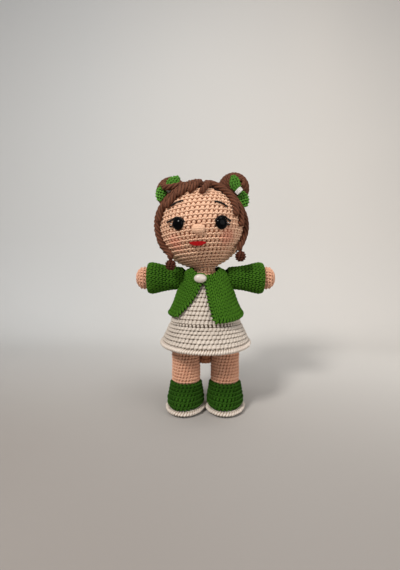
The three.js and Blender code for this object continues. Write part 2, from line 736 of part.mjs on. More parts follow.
const mouthShares = [[-19, 0.284], [-13, 0.282], [-7, 0.279], [-1, 0.275], [4, 0.271]];
const mouthCurve = new THREE.CatmullRomCurve3(facePath(mouthShares, seamGap));
const mouthSides = 8;
const mouthRings = [0.02, 0.25, 0.5, 0.75, 0.98].map((share) => {
  const size = Math.sin(share * Math.PI) ** 0.8;
  const out = awayFromHead(mouthCurve.getPoint(share)).normalize();
  return Array.from({ length: mouthSides }, (_, s) => mouthCurve.getPoint(share)
    .addScaledVector(out, mouthThickness * size * Math.cos((s / mouthSides) * tau))
    .add(new THREE.Vector3(0, 0, mouthHalfHeight * size * Math.sin((s / mouthSides) * tau))));
});
addNode(head, "mouth", redThread, loft(mouthRings).subtract(headGuard));

const threadLift = threadRadius + 2 * seamGap;
const browShares = {
  left: [[20, 0.586], [27, 0.581], [32, 0.57], [36, 0.549]],
  right: [[-23, 0.619], [-31, 0.619], [-37, 0.612], [-42, 0.6]],
};
const lidShares = {
  left: [[17, 0.443], [20, 0.468], [26, 0.482], [32, 0.466], [39, 0.448]],
  right: [[-20, 0.452], [-23, 0.488], [-30, 0.503], [-36, 0.486], [-47, 0.478]],
};
const lowLashShares = {
  left: [[32, 0.466], [32.5, 0.442], [33, 0.42], [38, 0.416]],
  right: [[-36, 0.486], [-36.5, 0.464], [-37, 0.446], [-44, 0.441]],
};
const threadShape = { sides: 4, steps: 5 };
for (const name of ["left", "right"]) {
  const eyeGuard = seated(lathe([[0, -seamGap], [eyeRadius + seamGap, -seamGap],
    [eyeRadius + seamGap, eyeHeight * 0.4], [eyeRadius * 0.7, eyeHeight], [0, eyeHeight + seamGap]], 16),
  headPlace(...eyeShares[name], 0).out, headPlace(...eyeShares[name], seamGap).place);
  const thread = (places, radius) => cut(
    cord(facePath(places, threadLift), radius, awayFromHead, threadShape), [headGuard, eyeGuard]);
  addNode(head, `brow_${name}`, blackThread, thread(browShares[name], threadRadius));
  addNode(head, `lashes_${name}`, blackThread,
    thread(lidShares[name], threadRadius).add(thread(lowLashShares[name], threadRadius)));
}

// Wig cap, hair cords and their balls

const capLean = THREE.MathUtils.degToRad(23);
const capShares = { front: 0.37, back: 0.14, nape: 0.17 };

function capForm(inner, outer, grow) {
  const size = 3 * headHeight;
  const front = new THREE.BoxGeometry(size, size, size).translate(0, size / 2 - grow, 0)
    .rotateX(capLean).translate(0, -capShares.back * headRadius, capShares.front * headHeight);
  const above = new THREE.BoxGeometry(size, size, size)
    .translate(0, 0, size / 2 + capShares.nape * headHeight - grow);
  return headForm(outer, seamGap, 14, 20).subtract(headForm(inner, -cutOverrun, 14, 20))
    .intersect(toSolid(front)).intersect(toSolid(above));
}

const capSolid = capForm(seamGap, seamGap + capThickness, 0);
const capGuard = capForm(-seamGap, 2 * seamGap + capThickness, seamGap);
addNode(head, "hair_cap", brownYarn, capSolid);

const ballShares = { left: [58.5, 0.965, 0.091], right: [-53, 0.925, 0.052] };

function hangingPoint([degrees, reachShare, heightShare], rise = 0) {
  const angle = THREE.MathUtils.degToRad(degrees);
  const reach = reachShare * headRadius;
  const height = heightShare * headHeight + rise;
  return new THREE.Vector3(reach * Math.sin(angle), -reach * Math.cos(angle), height);
}

const cordShares = {
  lock_right: [
    [-90, 0.955], [-56, 0.88], [-61, 0.77], [-71, 0.66], [-74, 0.56], [-67, 0.455], [-63, 0.36], [-60, 0.3],
  ],
  lock_left: [
    [90, 0.945], [66, 0.87], [66, 0.77], [72, 0.67], [77, 0.57], [75, 0.48], [70, 0.39], [66, 0.31],
  ],
  strand_right_1: [[-60, 0.95], [-41, 0.85], [-49, 0.75], [-58, 0.65], [-62, 0.57], [-62, 0.494]],
  strand_right_2: [[-25, 0.945], [-27, 0.85], [-34, 0.74], [-43, 0.65], [-49, 0.585]],
  strand_right_3: [[0, 0.92], [-11, 0.85], [-23, 0.75], [-34, 0.67]],
  fringe_middle_right: [[12, 0.89], [1, 0.83], [-7, 0.765], [-16, 0.7]],
  fringe_middle_left: [[28, 0.85], [20, 0.79], [11, 0.73], [3, 0.67]],
  strand_left_1: [[44, 0.88], [43, 0.8], [50, 0.73], [54, 0.65], [51, 0.56], [46, 0.48]],
  strand_left_2: [[62, 0.92], [56, 0.83], [60, 0.745], [65, 0.65], [61, 0.54], [55, 0.41]],
};
const cordGuards = [];
for (const [name, places] of Object.entries(cordShares)) {
  const points = facePath(places, cordLift);
  const side = name.split("_")[1];
  if (name.startsWith("lock")) {
    points.push(hangingPoint(ballShares[side], ballRadius * 2));
    points.push(hangingPoint(ballShares[side], ballRadius + seamGap));
  }
  const shape = { sides: 6, steps: name.startsWith("lock") ? 9 : 5 };
  addNode(head, name, brownYarn, cut(cord(points, cordRadius, awayFromHead, shape),
    [headGuard, capGuard, ...cordGuards]));
  cordGuards.push(cord(points, cordRadius, awayFromHead, { ...shape, grow: seamGap }));
}
for (const name of ["left", "right"]) {
  const hanging = ball(ballRadius, hangingPoint(ballShares[name]), 12);
  addNode(head, `lock_ball_${name}`, brownYarn, cut(hanging, cordGuards));
}

// Buns, and a bow of two leaves and a knot in front of each

function headSpot([xShare, yShare, zShare]) {
  return new THREE.Vector3(xShare * headRadius, yShare * headRadius, zShare * headHeight);
}

const bunShares = { left: [0.875, 0.144, 0.961], right: [-0.641, 0.144, 0.966] };
const bunGuards = [];
for (const name of ["left", "right"]) {
  const centre = headSpot(bunShares[name]);
  const bunSides = 14;
  addNode(head, `bun_${name}`, brownYarn, cut(
    ball(bunRadius, centre, bunSides), [capGuard, headGuard, ...cordGuards]));
  bunGuards.push(ball(bunRadius + seamGap, centre, bunSides));
}

// Each leaf is given by its middle and the way that its tip points, both on the head's front plane.
const leafShares = {
  bow_leaf_left_1: { side: "left", middle: [0.86, -0.265, 0.952], tip: [-0.17, 0.98] },
  bow_leaf_left_2: { side: "left", middle: [1.05, -0.15, 0.785], tip: [0.2, -0.98] },
  bow_leaf_right_1: { side: "right", middle: [-0.572, -0.19, 1.039], tip: [0.81, 0.58] },
  bow_leaf_right_2: { side: "right", middle: [-0.859, -0.2, 0.922], tip: [-0.35, -0.94] },
};
const knotShares = { left: [0.932, -0.28, 0.859], right: [-0.69, -0.28, 0.96] };

const hairGuards = [headGuard, capGuard, ...cordGuards, ...bunGuards];
const knotGuards = {};
for (const [name, spot] of Object.entries(knotShares)) {
  const centre = headSpot(spot);
  const halves = new THREE.Vector3(knotRadius * 1.5, knotRadius, knotRadius);
  const grown = halves.clone().addScalar(seamGap);
  addNode(head, `bow_knot_${name}`, whiteYarn, cut(ellipsoid(halves, centre, 10), hairGuards));
  knotGuards[name] = ellipsoid(grown, centre, 10);
}
const leafSides = 10;
for (const [name, { side, middle, tip }] of Object.entries(leafShares)) {
  const centre = headSpot(middle);
  const along = new THREE.Vector3(tip[0], 0, tip[1]).normalize();
  const across = new THREE.Vector3(0, 1, 0).cross(along);
  const widthShares = [0.25, 0.8, 1, 0.85, 0.45, 0.12];
  const rings = widthShares.map((width, i) => {
    const reach = ((i + 0.5) / widthShares.length - 0.5) * leafLength;
    return Array.from({ length: leafSides }, (_, s) => centre.clone().addScaledVector(along, reach)
      .addScaledVector(across, (leafWidth / 2) * width * Math.cos((s / leafSides) * tau))
      .add(new THREE.Vector3(0, (leafThickness / 2) * width ** 0.5 * Math.sin((s / leafSides) * tau), 0)));
  });
  addNode(head, name, greenYarn, cut(loft(rings), [...hairGuards, knotGuards[side]]));
}

export default doll;
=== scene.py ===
"""A crocheted and stuffed doll, dressed round its CAD frame.

Every cloth is a shell with its rows of stitches worked over it in real yarn, and hair is cord.
Sizes are written in millimetres and placed in metres. The doll faces -Y and its left side is +X.
"""
import math
import random

import bmesh
import bpy
from mathutils import Matrix, Vector


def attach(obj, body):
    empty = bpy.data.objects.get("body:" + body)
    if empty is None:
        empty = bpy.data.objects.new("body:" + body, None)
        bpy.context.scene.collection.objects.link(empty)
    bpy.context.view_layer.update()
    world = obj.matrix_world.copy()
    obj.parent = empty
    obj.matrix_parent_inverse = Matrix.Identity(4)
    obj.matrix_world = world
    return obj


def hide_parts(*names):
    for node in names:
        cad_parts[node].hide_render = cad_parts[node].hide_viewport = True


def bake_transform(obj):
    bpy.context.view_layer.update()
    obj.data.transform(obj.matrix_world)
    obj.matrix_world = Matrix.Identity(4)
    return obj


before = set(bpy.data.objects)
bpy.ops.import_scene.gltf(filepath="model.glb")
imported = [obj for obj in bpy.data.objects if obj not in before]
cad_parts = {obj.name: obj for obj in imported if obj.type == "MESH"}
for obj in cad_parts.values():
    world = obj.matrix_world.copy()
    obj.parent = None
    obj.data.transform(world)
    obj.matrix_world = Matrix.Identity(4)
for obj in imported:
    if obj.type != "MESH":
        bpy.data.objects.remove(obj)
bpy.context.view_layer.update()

MM = 0.001
TAU, QUARTER = 2 * math.pi, math.pi / 2
UP = Vector((0, 0, 1))

scene = bpy.context.scene


def linked(name, data):
    thing = bpy.data.objects.new(name, data)
    scene.collection.objects.link(thing)
    return thing


# Camera
scene.view_settings.view_transform = "Standard"
camera_data = bpy.data.cameras.new("camera")
camera_data.sensor_width = 36
camera_data.sensor_fit = "AUTO"
camera_data.lens = 18.316
camera_data.clip_start = 0.01
camera = linked("camera", camera_data)
camera.location = (-0.0055, -0.290, 0.121)
camera.rotation_euler = (QUARTER, 0, 0)
scene.camera = camera


# Materials

def srgb(red, green, blue):
    """A colour as the eye reads it, from 0 to 255, turned into light."""
    def light(value):
        value /= 255
        return value / 12.92 if value <= 0.04045 else ((value + 0.055) / 1.055) ** 2.4
    return (light(red), light(green), light(blue), 1.0)


class Value:
    """A number socket that can be added, subtracted and multiplied like a number."""

    def __init__(self, finish, socket):
        self.finish, self.socket = finish, socket

    def maths(self, operation, *others):
        return self.finish.node("ShaderNodeMath", {"operation": operation},
                                dict(enumerate((self, *others))))

    def __add__(self, other):
        return self.maths("ADD", other)

    def __sub__(self, other):
        return self.maths("SUBTRACT", other)

    def __mul__(self, other):
        return self.maths("MULTIPLY", other)

    def __rsub__(self, other):
        return self * -1 + other

    __radd__ = __add__
    __rmul__ = __mul__


class Finish:
    """A material with one shader, and the nodes that vary over its surface."""

    def __init__(self, name, **shader):
        self.material = bpy.data.materials.new(name)
        self.material.use_nodes = True
        self.tree = self.material.node_tree
        self.shader = self.tree.nodes["Principled BSDF"]
        self.coordinates = self.tree.nodes.new("ShaderNodeTexCoord")
        for socket, value in shader.items():
            self.shader.inputs[socket.replace("_", " ")].default_value = value

    def join(self, value, socket):
        if isinstance(value, Value):
            value = value.socket
        if isinstance(value, bpy.types.NodeSocket):
            self.tree.links.new(value, socket)
        else:
            socket.default_value = value

    def node(self, kind, settings=None, sockets=None, out=0):
        node = self.tree.nodes.new(kind)
        for key, value in (settings or {}).items():
            setattr(node, key, value)
        for key, value in (sockets or {}).items():
            self.join(value, node.inputs[key])
        return Value(self, node.outputs[out])

    def place(self, kind="Object"):
        return self.coordinates.outputs[kind]

    def noise(self, scale, detail=2.0, where=None):
        return self.node("ShaderNodeTexNoise", None, {
            "Vector": where or self.place(), "Scale": scale, "Detail": detail})

    def blend(self, share, first, second):
        """Two colours mixed by a share from 0 to 1."""
        return self.node("ShaderNodeMix", {"data_type": "RGBA"},
                         {0: share, 6: first, 7: second}, out=2)

    def bump(self, height, strength, distance):
        return self.node("ShaderNodeBump", None, {
            "Height": height, "Strength": strength, "Distance": distance})

    def give(self, **sockets):
        for name, value in sockets.items():
            self.join(value, self.shader.inputs[name.replace("_", " ")])
        return self.material


FIBRE_SCALE, GRAIN_SCALE, DUST_SCALE = 3200.0, 900.0, 2600.0


def parts_of(finish, vector, count=2):
    """The first numbers of a vector socket."""
    node = finish.node("ShaderNodeSeparateXYZ", None, {0: vector}).socket.node
    return [Value(finish, output) for output in list(node.outputs)[:count]]


def spun(finish, colour, deep, bright, plies=3, turns=1.6, patch=60.0, fuzz=0.35, depth=0.5):
    """Yarn: plies wound round its own length, loose fibres, lighter and darker patches, and painted
    shade darkening the grooves between the plies.
    """
    u, v = parts_of(finish, finish.place("UV"))
    wound = (u * plies + v * turns + 0.5).maths("FRACT")
    groove = ((wound - 0.5).maths("ABSOLUTE") * 2).maths("POWER", 3.0)
    patchy = finish.noise(patch, 2.0)
    fibres = finish.noise(FIBRE_SCALE, 3.0)
    shade = finish.blend(patchy, deep, bright)
    shade = finish.blend(0.55, colour, shade)
    # Painted shade: the grooves between the plies are darkened towards the deep colour.
    shade = finish.blend(groove * depth, shade, deep)
    shade = finish.blend(fibres * fuzz, shade, bright)
    height = (1 - groove) * 0.7 + fibres * 0.5
    return shade, finish.bump(height, 0.55, 0.0005)


def woolly(name, bright, sheen, rough):
    finish = Finish(name, Roughness=rough, Sheen_Weight=sheen, Sheen_Roughness=0.5,
                    Specular_IOR_Level=0.18)
    finish.shader.inputs["Sheen Tint"].default_value = bright
    return finish


def yarn(name, colour, deep, bright, sheen=0.35, **ways):
    """Plain yarn. The ways go to spun."""
    finish = woolly(name, bright, sheen, 0.88)
    shade, normal = spun(finish, colour, deep, bright, **ways)
    return finish.give(Base_Color=shade, Normal=normal)


def backing(name, colour, deep):
    """The deep side of a row, seen between its stitches, with its darker colours painted as the
    shade in the gaps. The filling uses the same grained finish in plain white.
    """
    finish = Finish(name, Roughness=0.95, Specular_IOR_Level=0.08)
    grain = finish.noise(GRAIN_SCALE, 3.0)
    shade = finish.blend(grain, deep, colour)
    return finish.give(Base_Color=shade, Normal=finish.bump(grain, 0.5, 0.0006))


def blushed(name, colour, deep, bright, spots):
    """Skin yarn with soft round spots of blush, each given by its middle and its radius."""
    finish = woolly(name, bright, 0.35, 0.86)
    shade, normal = spun(finish, colour, deep, bright)
    for middle, radius, blush in spots:
        away = finish.node("ShaderNodeVectorMath", {"operation": "DISTANCE"},
                           {0: finish.place(), 1: middle}, out=1)
        ragged = away * (1 / radius) + (finish.noise(260.0) - 0.5) * 0.5
        spot = finish.node("ShaderNodeMapRange", {"interpolation_type": "SMOOTHSTEP"},
                           {0: ragged, 1: 0.2, 2: 1.05, 3: 0.4, 4: 0.0})
        shade = finish.blend(spot, shade, blush)
    return finish.give(Base_Color=shade, Normal=normal)


# Each yarn is its colour, a deep colour and a bright colour. The deep colour is for darker patches
# and for the painted shade in the grooves between its plies. The bright colour is for lighter
# patches, loose fibres and sheen.
SKIN = (srgb(232, 184, 153), srgb(190, 132, 98), srgb(250, 216, 186))
LEG = (srgb(232, 174, 142), srgb(176, 112, 78), srgb(250, 206, 176))
WHITE = (srgb(204, 191, 178), srgb(160, 144, 128), srgb(230, 220, 208))
GREEN = (srgb(49, 92, 11), srgb(23, 54, 2), srgb(80, 132, 30))
BROWN = (srgb(80, 42, 28), srgb(24, 9, 5), srgb(134, 86, 62))
BLUSH, BLUSH_RADIUS = srgb(226, 118, 98), 0.012

# Backings: sheets under the stitches, coloured darker than their yarn as painted shade in the gaps
# between stitches.
skin_shade_backing = backing("skin_yarn_painted_shade", srgb(182, 120, 86), srgb(140, 86, 58))
leg_yarn = yarn("leg_yarn", *LEG)
# The neck's own copy of the skin yarn. Its deep colour is lighter than the skin's, painted light
# against the head's shadow on the neck.
neck_painted_light_yarn = yarn("neck_painted_light_yarn", srgb(224, 180, 146), srgb(190, 138, 104), srgb(244, 208, 176))
# A darker copy of the leg yarn: painted shade under the skirt, between the legs.
web_shaded_yarn = yarn("web_shaded_yarn", srgb(150, 96, 66), srgb(96, 50, 28), srgb(190, 134, 100))
white_yarn = yarn("white_yarn", *WHITE)
# Painted shade between the dress's stitches and inside the hem and sole rims.
white_shade_backing = backing("white_yarn_painted_shade", srgb(172, 152, 132), srgb(132, 114, 97))
hem_yarn = yarn("hem_yarn", srgb(220, 205, 191), srgb(168, 148, 131), srgb(244, 235, 224))
# Painted shade: a dark sheet in the eyelet holes where the body would be seen in shadow.
eyelet_painted_shade = backing("eyelet_painted_shade", srgb(96, 80, 64), srgb(60, 48, 38))
green_yarn = yarn("green_yarn", *GREEN, sheen=0.3)
# Painted shade between the green stitches. The jacket's is a paler painted shade, so its collar gap
# is less black.
green_shade_backing = backing("green_yarn_painted_shade", srgb(18, 46, 3), srgb(8, 26, 1))
jacket_shade_backing = backing("jacket_yarn_painted_shade", srgb(34, 74, 10), srgb(20, 50, 4))
boot_yarn = yarn("boot_yarn", srgb(32, 70, 6), srgb(12, 36, 1), srgb(58, 106, 18), sheen=0.15)
bow_yarn = yarn("bow_yarn", srgb(64, 126, 32), srgb(22, 66, 8), srgb(116, 178, 70), sheen=0.3)
brown_yarn = yarn("brown_yarn", *BROWN, patch=90.0, plies=4, turns=-4.0, depth=1.0, fuzz=0.25)
# Painted shade between the hair's stitches and coils.
brown_shade_backing = backing("brown_yarn_painted_shade", srgb(52, 28, 20), srgb(28, 14, 10))
ball_yarn = yarn("ball_yarn", srgb(74, 36, 26), srgb(34, 14, 8), srgb(112, 62, 44))
knot_yarn = yarn("knot_yarn", srgb(226, 224, 216), srgb(170, 166, 156), srgb(252, 250, 246))
black_thread = yarn("black_thread", srgb(26, 20, 18), srgb(8, 6, 6), srgb(60, 50, 46),
                    sheen=0.1, plies=2, turns=30.0)
red_thread = yarn("red_thread", srgb(148, 3, 8), srgb(90, 0, 3), srgb(190, 18, 20),
                  sheen=0.15, plies=2, turns=6.0)
filling = backing("filling", srgb(246, 244, 238), srgb(214, 210, 202))


def metres(x, y, z):
    return (x * MM, y * MM, z * MM)


skin_yarn = blushed("skin_yarn", *SKIN, [
    (metres(*cheek), BLUSH_RADIUS, BLUSH) for cheek in ((-29, -31, 157.5), (20, -34, 163))])


def gloss(name, colour, tone, rough, coat, shine=0.5):
    """Moulded plastic: fine specks of dust and a slow change of roughness."""
    finish = Finish(name, Coat_Roughness=0.04, Coat_Weight=coat, Specular_IOR_Level=shine)
    smear = finish.noise(240.0, 3.0)
    dust = finish.noise(DUST_SCALE, 1.0)
    shade = finish.blend(smear, colour, tone)
    return finish.give(Base_Color=shade, Roughness=smear * 0.12 + rough,
                       Normal=finish.bump(dust, 0.04, 0.0002))


eye_plastic = gloss("eye_plastic", srgb(2, 2, 3), srgb(6, 6, 8), 0.06, 0.0, shine=0.07)
washer_plastic = gloss("washer_plastic", srgb(224, 224, 220), srgb(206, 206, 200), 0.4, 0.0)
pearl_plastic = gloss("pearl_plastic", srgb(192, 180, 168), srgb(222, 212, 202), 0.16, 0.8)


# Forms: each gives the place of a point round it, along it and how far out it lies

class Line:
    """A line of points that can be followed by its own length."""

    def __init__(self, points):
        self.points = [Vector(p) for p in points]
        self.lengths = [0.0]
        for before, after in zip(self.points, self.points[1:]):
            self.lengths.append(self.lengths[-1] + (after - before).length)
        self.length = self.lengths[-1]

    def step_at(self, far):
        """The number of the point that ends the step in which a length lies."""
        return max(next((k for k, s in enumerate(self.lengths) if s >= far), 1), 1)

    def at(self, share):
        """The point and the direction at a share of the length."""
        far = min(max(share, 0.0), 1.0) * self.length
        i = min(self.step_at(far), len(self.points) - 1)
        along = self.points[i] - self.points[i - 1]
        step = self.lengths[i] - self.lengths[i - 1] or 1e-9
        point = self.points[i - 1] + along * ((far - self.lengths[i - 1]) / step)
        return point, along.normalized()


def smooth(points, count=60, fine=10):
    """A smooth line through the points, at even steps."""
    points = [Vector(p) for p in points]
    points = [points[0] * 2 - points[1], *points, points[-1] * 2 - points[-2]]
    line = []
    for a, b, c, d in zip(points, points[1:], points[2:], points[3:]):
        for k in range(fine):
            t = k / fine
            line.append(0.5 * (2 * b + (c - a) * t + (2 * a - 5 * b + 4 * c - d) * t * t
                               + (3 * b - 3 * c + d - a) * t ** 3))
    line.append(points[-2])
    line = Line(line)
    return Line([line.at(k / count)[0] for k in range(count + 1)])


def about_z(angle, wide, height, deep=None):
    """A place round Z, by its angle from the front with the left side first."""
    deep = wide if deep is None else deep
    return Vector((wide * math.sin(angle), -deep * math.cos(angle), height))


def turned(line, matrix=Matrix()):
    """A form that is a line turned about its own Z."""
    def at(u, v, out=0.0):
        point, along = line.at(v)
        return matrix @ about_z(u * TAU, point.x + along.y * out, point.y - along.x * out)
    return at


def mix(low, high, share):
    return low + (high - low) * share


def at_level(levels, share):
    """The sizes at a share of the way through a list of levels."""
    place = share * (len(levels) - 1)
    i = min(int(place), len(levels) - 2)
    return [mix(a, b, place - i) for a, b in zip(levels[i], levels[i + 1])]


# Sizes shared with the CAD frame, in millimetres
HEAD_RADIUS, HEAD_HEIGHT, NECK_TOP, NECK_SIDE = 41.6, 82.0, 137.5, -1.5
HEAD_LEAN = math.radians(4.5)
WAIST_HEIGHT, WAIST_RADIUS, NECK_BASE, NECK_RADIUS = 83.0, 34.2, 130.5, 10.4
SHOULDER_SPAN, SHOULDER_HEIGHT = 27.0, 128.0
LEG_SPAN, TOE_TURN = 19.3, math.radians(-9)
SIDES = (("left", 1), ("right", -1))

head_matrix = (Matrix.Translation((NECK_SIDE, 0, NECK_TOP))
               @ Matrix.Rotation(-HEAD_LEAN, 4, "Y"))
head_line = smooth([(NECK_RADIUS + 0.3, 0.3), *[(r * HEAD_RADIUS, h * HEAD_HEIGHT) for r, h in (
    (0.38, 0.039), (0.59, 0.094), (0.73, 0.149), (0.82, 0.204), (0.938, 0.295),
    (0.993, 0.387), (1, 0.49), (0.966, 0.588), (0.88, 0.698), (0.731, 0.807), (0.517, 0.905),
    (0.276, 0.972), (0, 1))]], 120)
head_form = turned(head_line, head_matrix)
torso_line = smooth([*[(r * WAIST_RADIUS, mix(WAIST_HEIGHT, NECK_BASE, h)) for r, h in (
    (1, 0), (0.97, 0.16), (0.885, 0.36), (0.79, 0.54), (0.7, 0.7), (0.62, 0.84), (0.55, 0.92),
    (0.44, 0.97))], (NECK_RADIUS, NECK_BASE)], 60)
torso_form = turned(torso_line)


def on_head(degrees, share, lift=0.0):
    """A place on the head, by its angle from the front and its share of the way up."""
    return head_form(degrees / 360, share, lift)


def head_spot(spot):
    """A place given by its shares of the head's radius and height."""
    return head_matrix @ Vector(
        (spot[0] * HEAD_RADIUS, spot[1] * HEAD_RADIUS, spot[2] * HEAD_HEIGHT))


def out_of_head(degrees, share):
    return (on_head(degrees, share, 1.0) - on_head(degrees, share)).normalized()


# Meshes

def blank():
    """An empty bmesh with the layer that yarn is laid along."""
    bm = bmesh.new()
    bm.loops.layers.uv.new("UVMap")
    return bm


def baked(name, bm):
    """A bmesh turned into a mesh."""
    mesh = bpy.data.meshes.new(name)
    bm.to_mesh(mesh)
    bm.free()
    return mesh


def take_in(bm, mesh):
    """A mesh moved into a bmesh."""
    bm.from_mesh(mesh)
    bpy.data.meshes.remove(mesh)


def ball_mesh(around, along):
    bm = blank()
    bmesh.ops.create_uvsphere(bm, u_segments=around, v_segments=along, radius=1, calc_uvs=True)
    return bm


def wrap(at, columns, rows, out=0.0, start=0.0, end=1.0, thickness=0.0, keep=None):
    """A skin over a form. A closed one has its ends filled, and an open one gets a thickness.

    What keep turns down is cut away before that.
    """
    bm = blank()
    bmesh.ops.create_grid(bm, x_segments=columns, y_segments=rows, size=0.5, calc_uvs=True)
    for vert in bm.verts:
        vert.co = at(vert.co.x + 0.5, mix(start, end, vert.co.y + 0.5), out) * MM
    bmesh.ops.remove_doubles(bm, verts=bm.verts, dist=1e-6)
    bmesh.ops.dissolve_degenerate(bm, dist=1e-7, edges=bm.edges)
    if keep:
        bmesh.ops.delete(bm, geom=[v for v in bm.verts if not keep(v.co / MM)], context="VERTS")
    if thickness:
        bmesh.ops.recalc_face_normals(bm, faces=bm.faces)
        bmesh.ops.solidify(bm, geom=bm.faces[:], thickness=thickness * MM)
    else:
        bmesh.ops.holes_fill(bm, edges=[e for e in bm.edges if e.is_boundary], sides=0)
        bmesh.ops.recalc_face_normals(bm, faces=bm.faces)
    return bm


def yarn_leg(start, end, bulge, radius, around=6, along=5):
    """One short stretch of fat yarn that rises from start and dips again at end."""
    bm = ball_mesh(around, along)
    start, end = Vector(start), Vector(end)
    way = (end - start).normalized()
    across = way.cross(UP).normalized()
    rise = across.cross(way)
    for vert in bm.verts:
        t, full = vert.co.z, 1 + 0.35 * vert.co.z ** 2
        vert.co = (start.lerp(end, (t + 1) / 2) + UP * bulge * (1 - t * t)
                   + (across * vert.co.x + rise * vert.co.y) * radius * full)
    bmesh.ops.recalc_face_normals(bm, faces=bm.faces)
    return bm


def as_mesh(name, *parts):
    """Several bmeshes as one mesh."""
    whole = blank()
    for part in parts:
        take_in(whole, baked(name, part))
    return baked(name, whole)


# A single crochet: a plump leg under a loop that stands out and peaks in its middle
single = as_mesh(
    "single", yarn_leg((-0.07, -0.6, -0.32), (0.06, 0.4, -0.2), 0.12, 0.41, around=8, along=5),
    yarn_leg((-0.57, 0.1, 0.14), (0.08, 0.4, 0.2), 0.1, 0.205, around=5, along=4),
    yarn_leg((-0.08, 0.4, 0.2), (0.57, 0.1, 0.14), 0.1, 0.205, around=5, along=4))
# The same stitch seen from its other side: two legs that leave one hole and lean apart
vee = as_mesh("vee", *[
    yarn_leg((0.06 * s, -0.64, -0.06), (0.4 * s, 0.6, 0.0), 0.09, 0.215) for s in (-1, 1)])
# A stitch of the dress: its loops pulled wide, so that it lies across and leans a little
nub = as_mesh(
    "nub", yarn_leg((-0.56, -0.22, -0.1), (0.5, 0.1, -0.06), 0.16, 0.27, around=7),
    yarn_leg((-0.5, 0.12, -0.1), (0.56, 0.34, -0.06), 0.14, 0.23, around=7))
# A post stands alone between two eyelets
post = as_mesh("post", yarn_leg((0, -0.62, -0.1), (0, 0.62, -0.1), 0.2, 0.3))
# A slanted wrap of yarn over an edge
wrap_over = as_mesh("wrap_over", yarn_leg((-0.42, -0.5, -0.1), (0.42, 0.5, -0.1), 0.3, 0.3))
# A wrap that goes all the way round a cord and leans a full step
fat_wrap = as_mesh("fat_wrap", *[
    yarn_leg((-0.62 * s, -0.4 * s, 0), (0.62 * s, 0.4 * s, 0), 0.34 * s, 0.3) for s in (-1, 1)])


RING_STEPS = 72
# The ways of a rope that is only a smooth round core
CORE = {"strands": 1, "lay": 1000.0, "sides": 10, "step": 2.0, "lobes": 0.0}


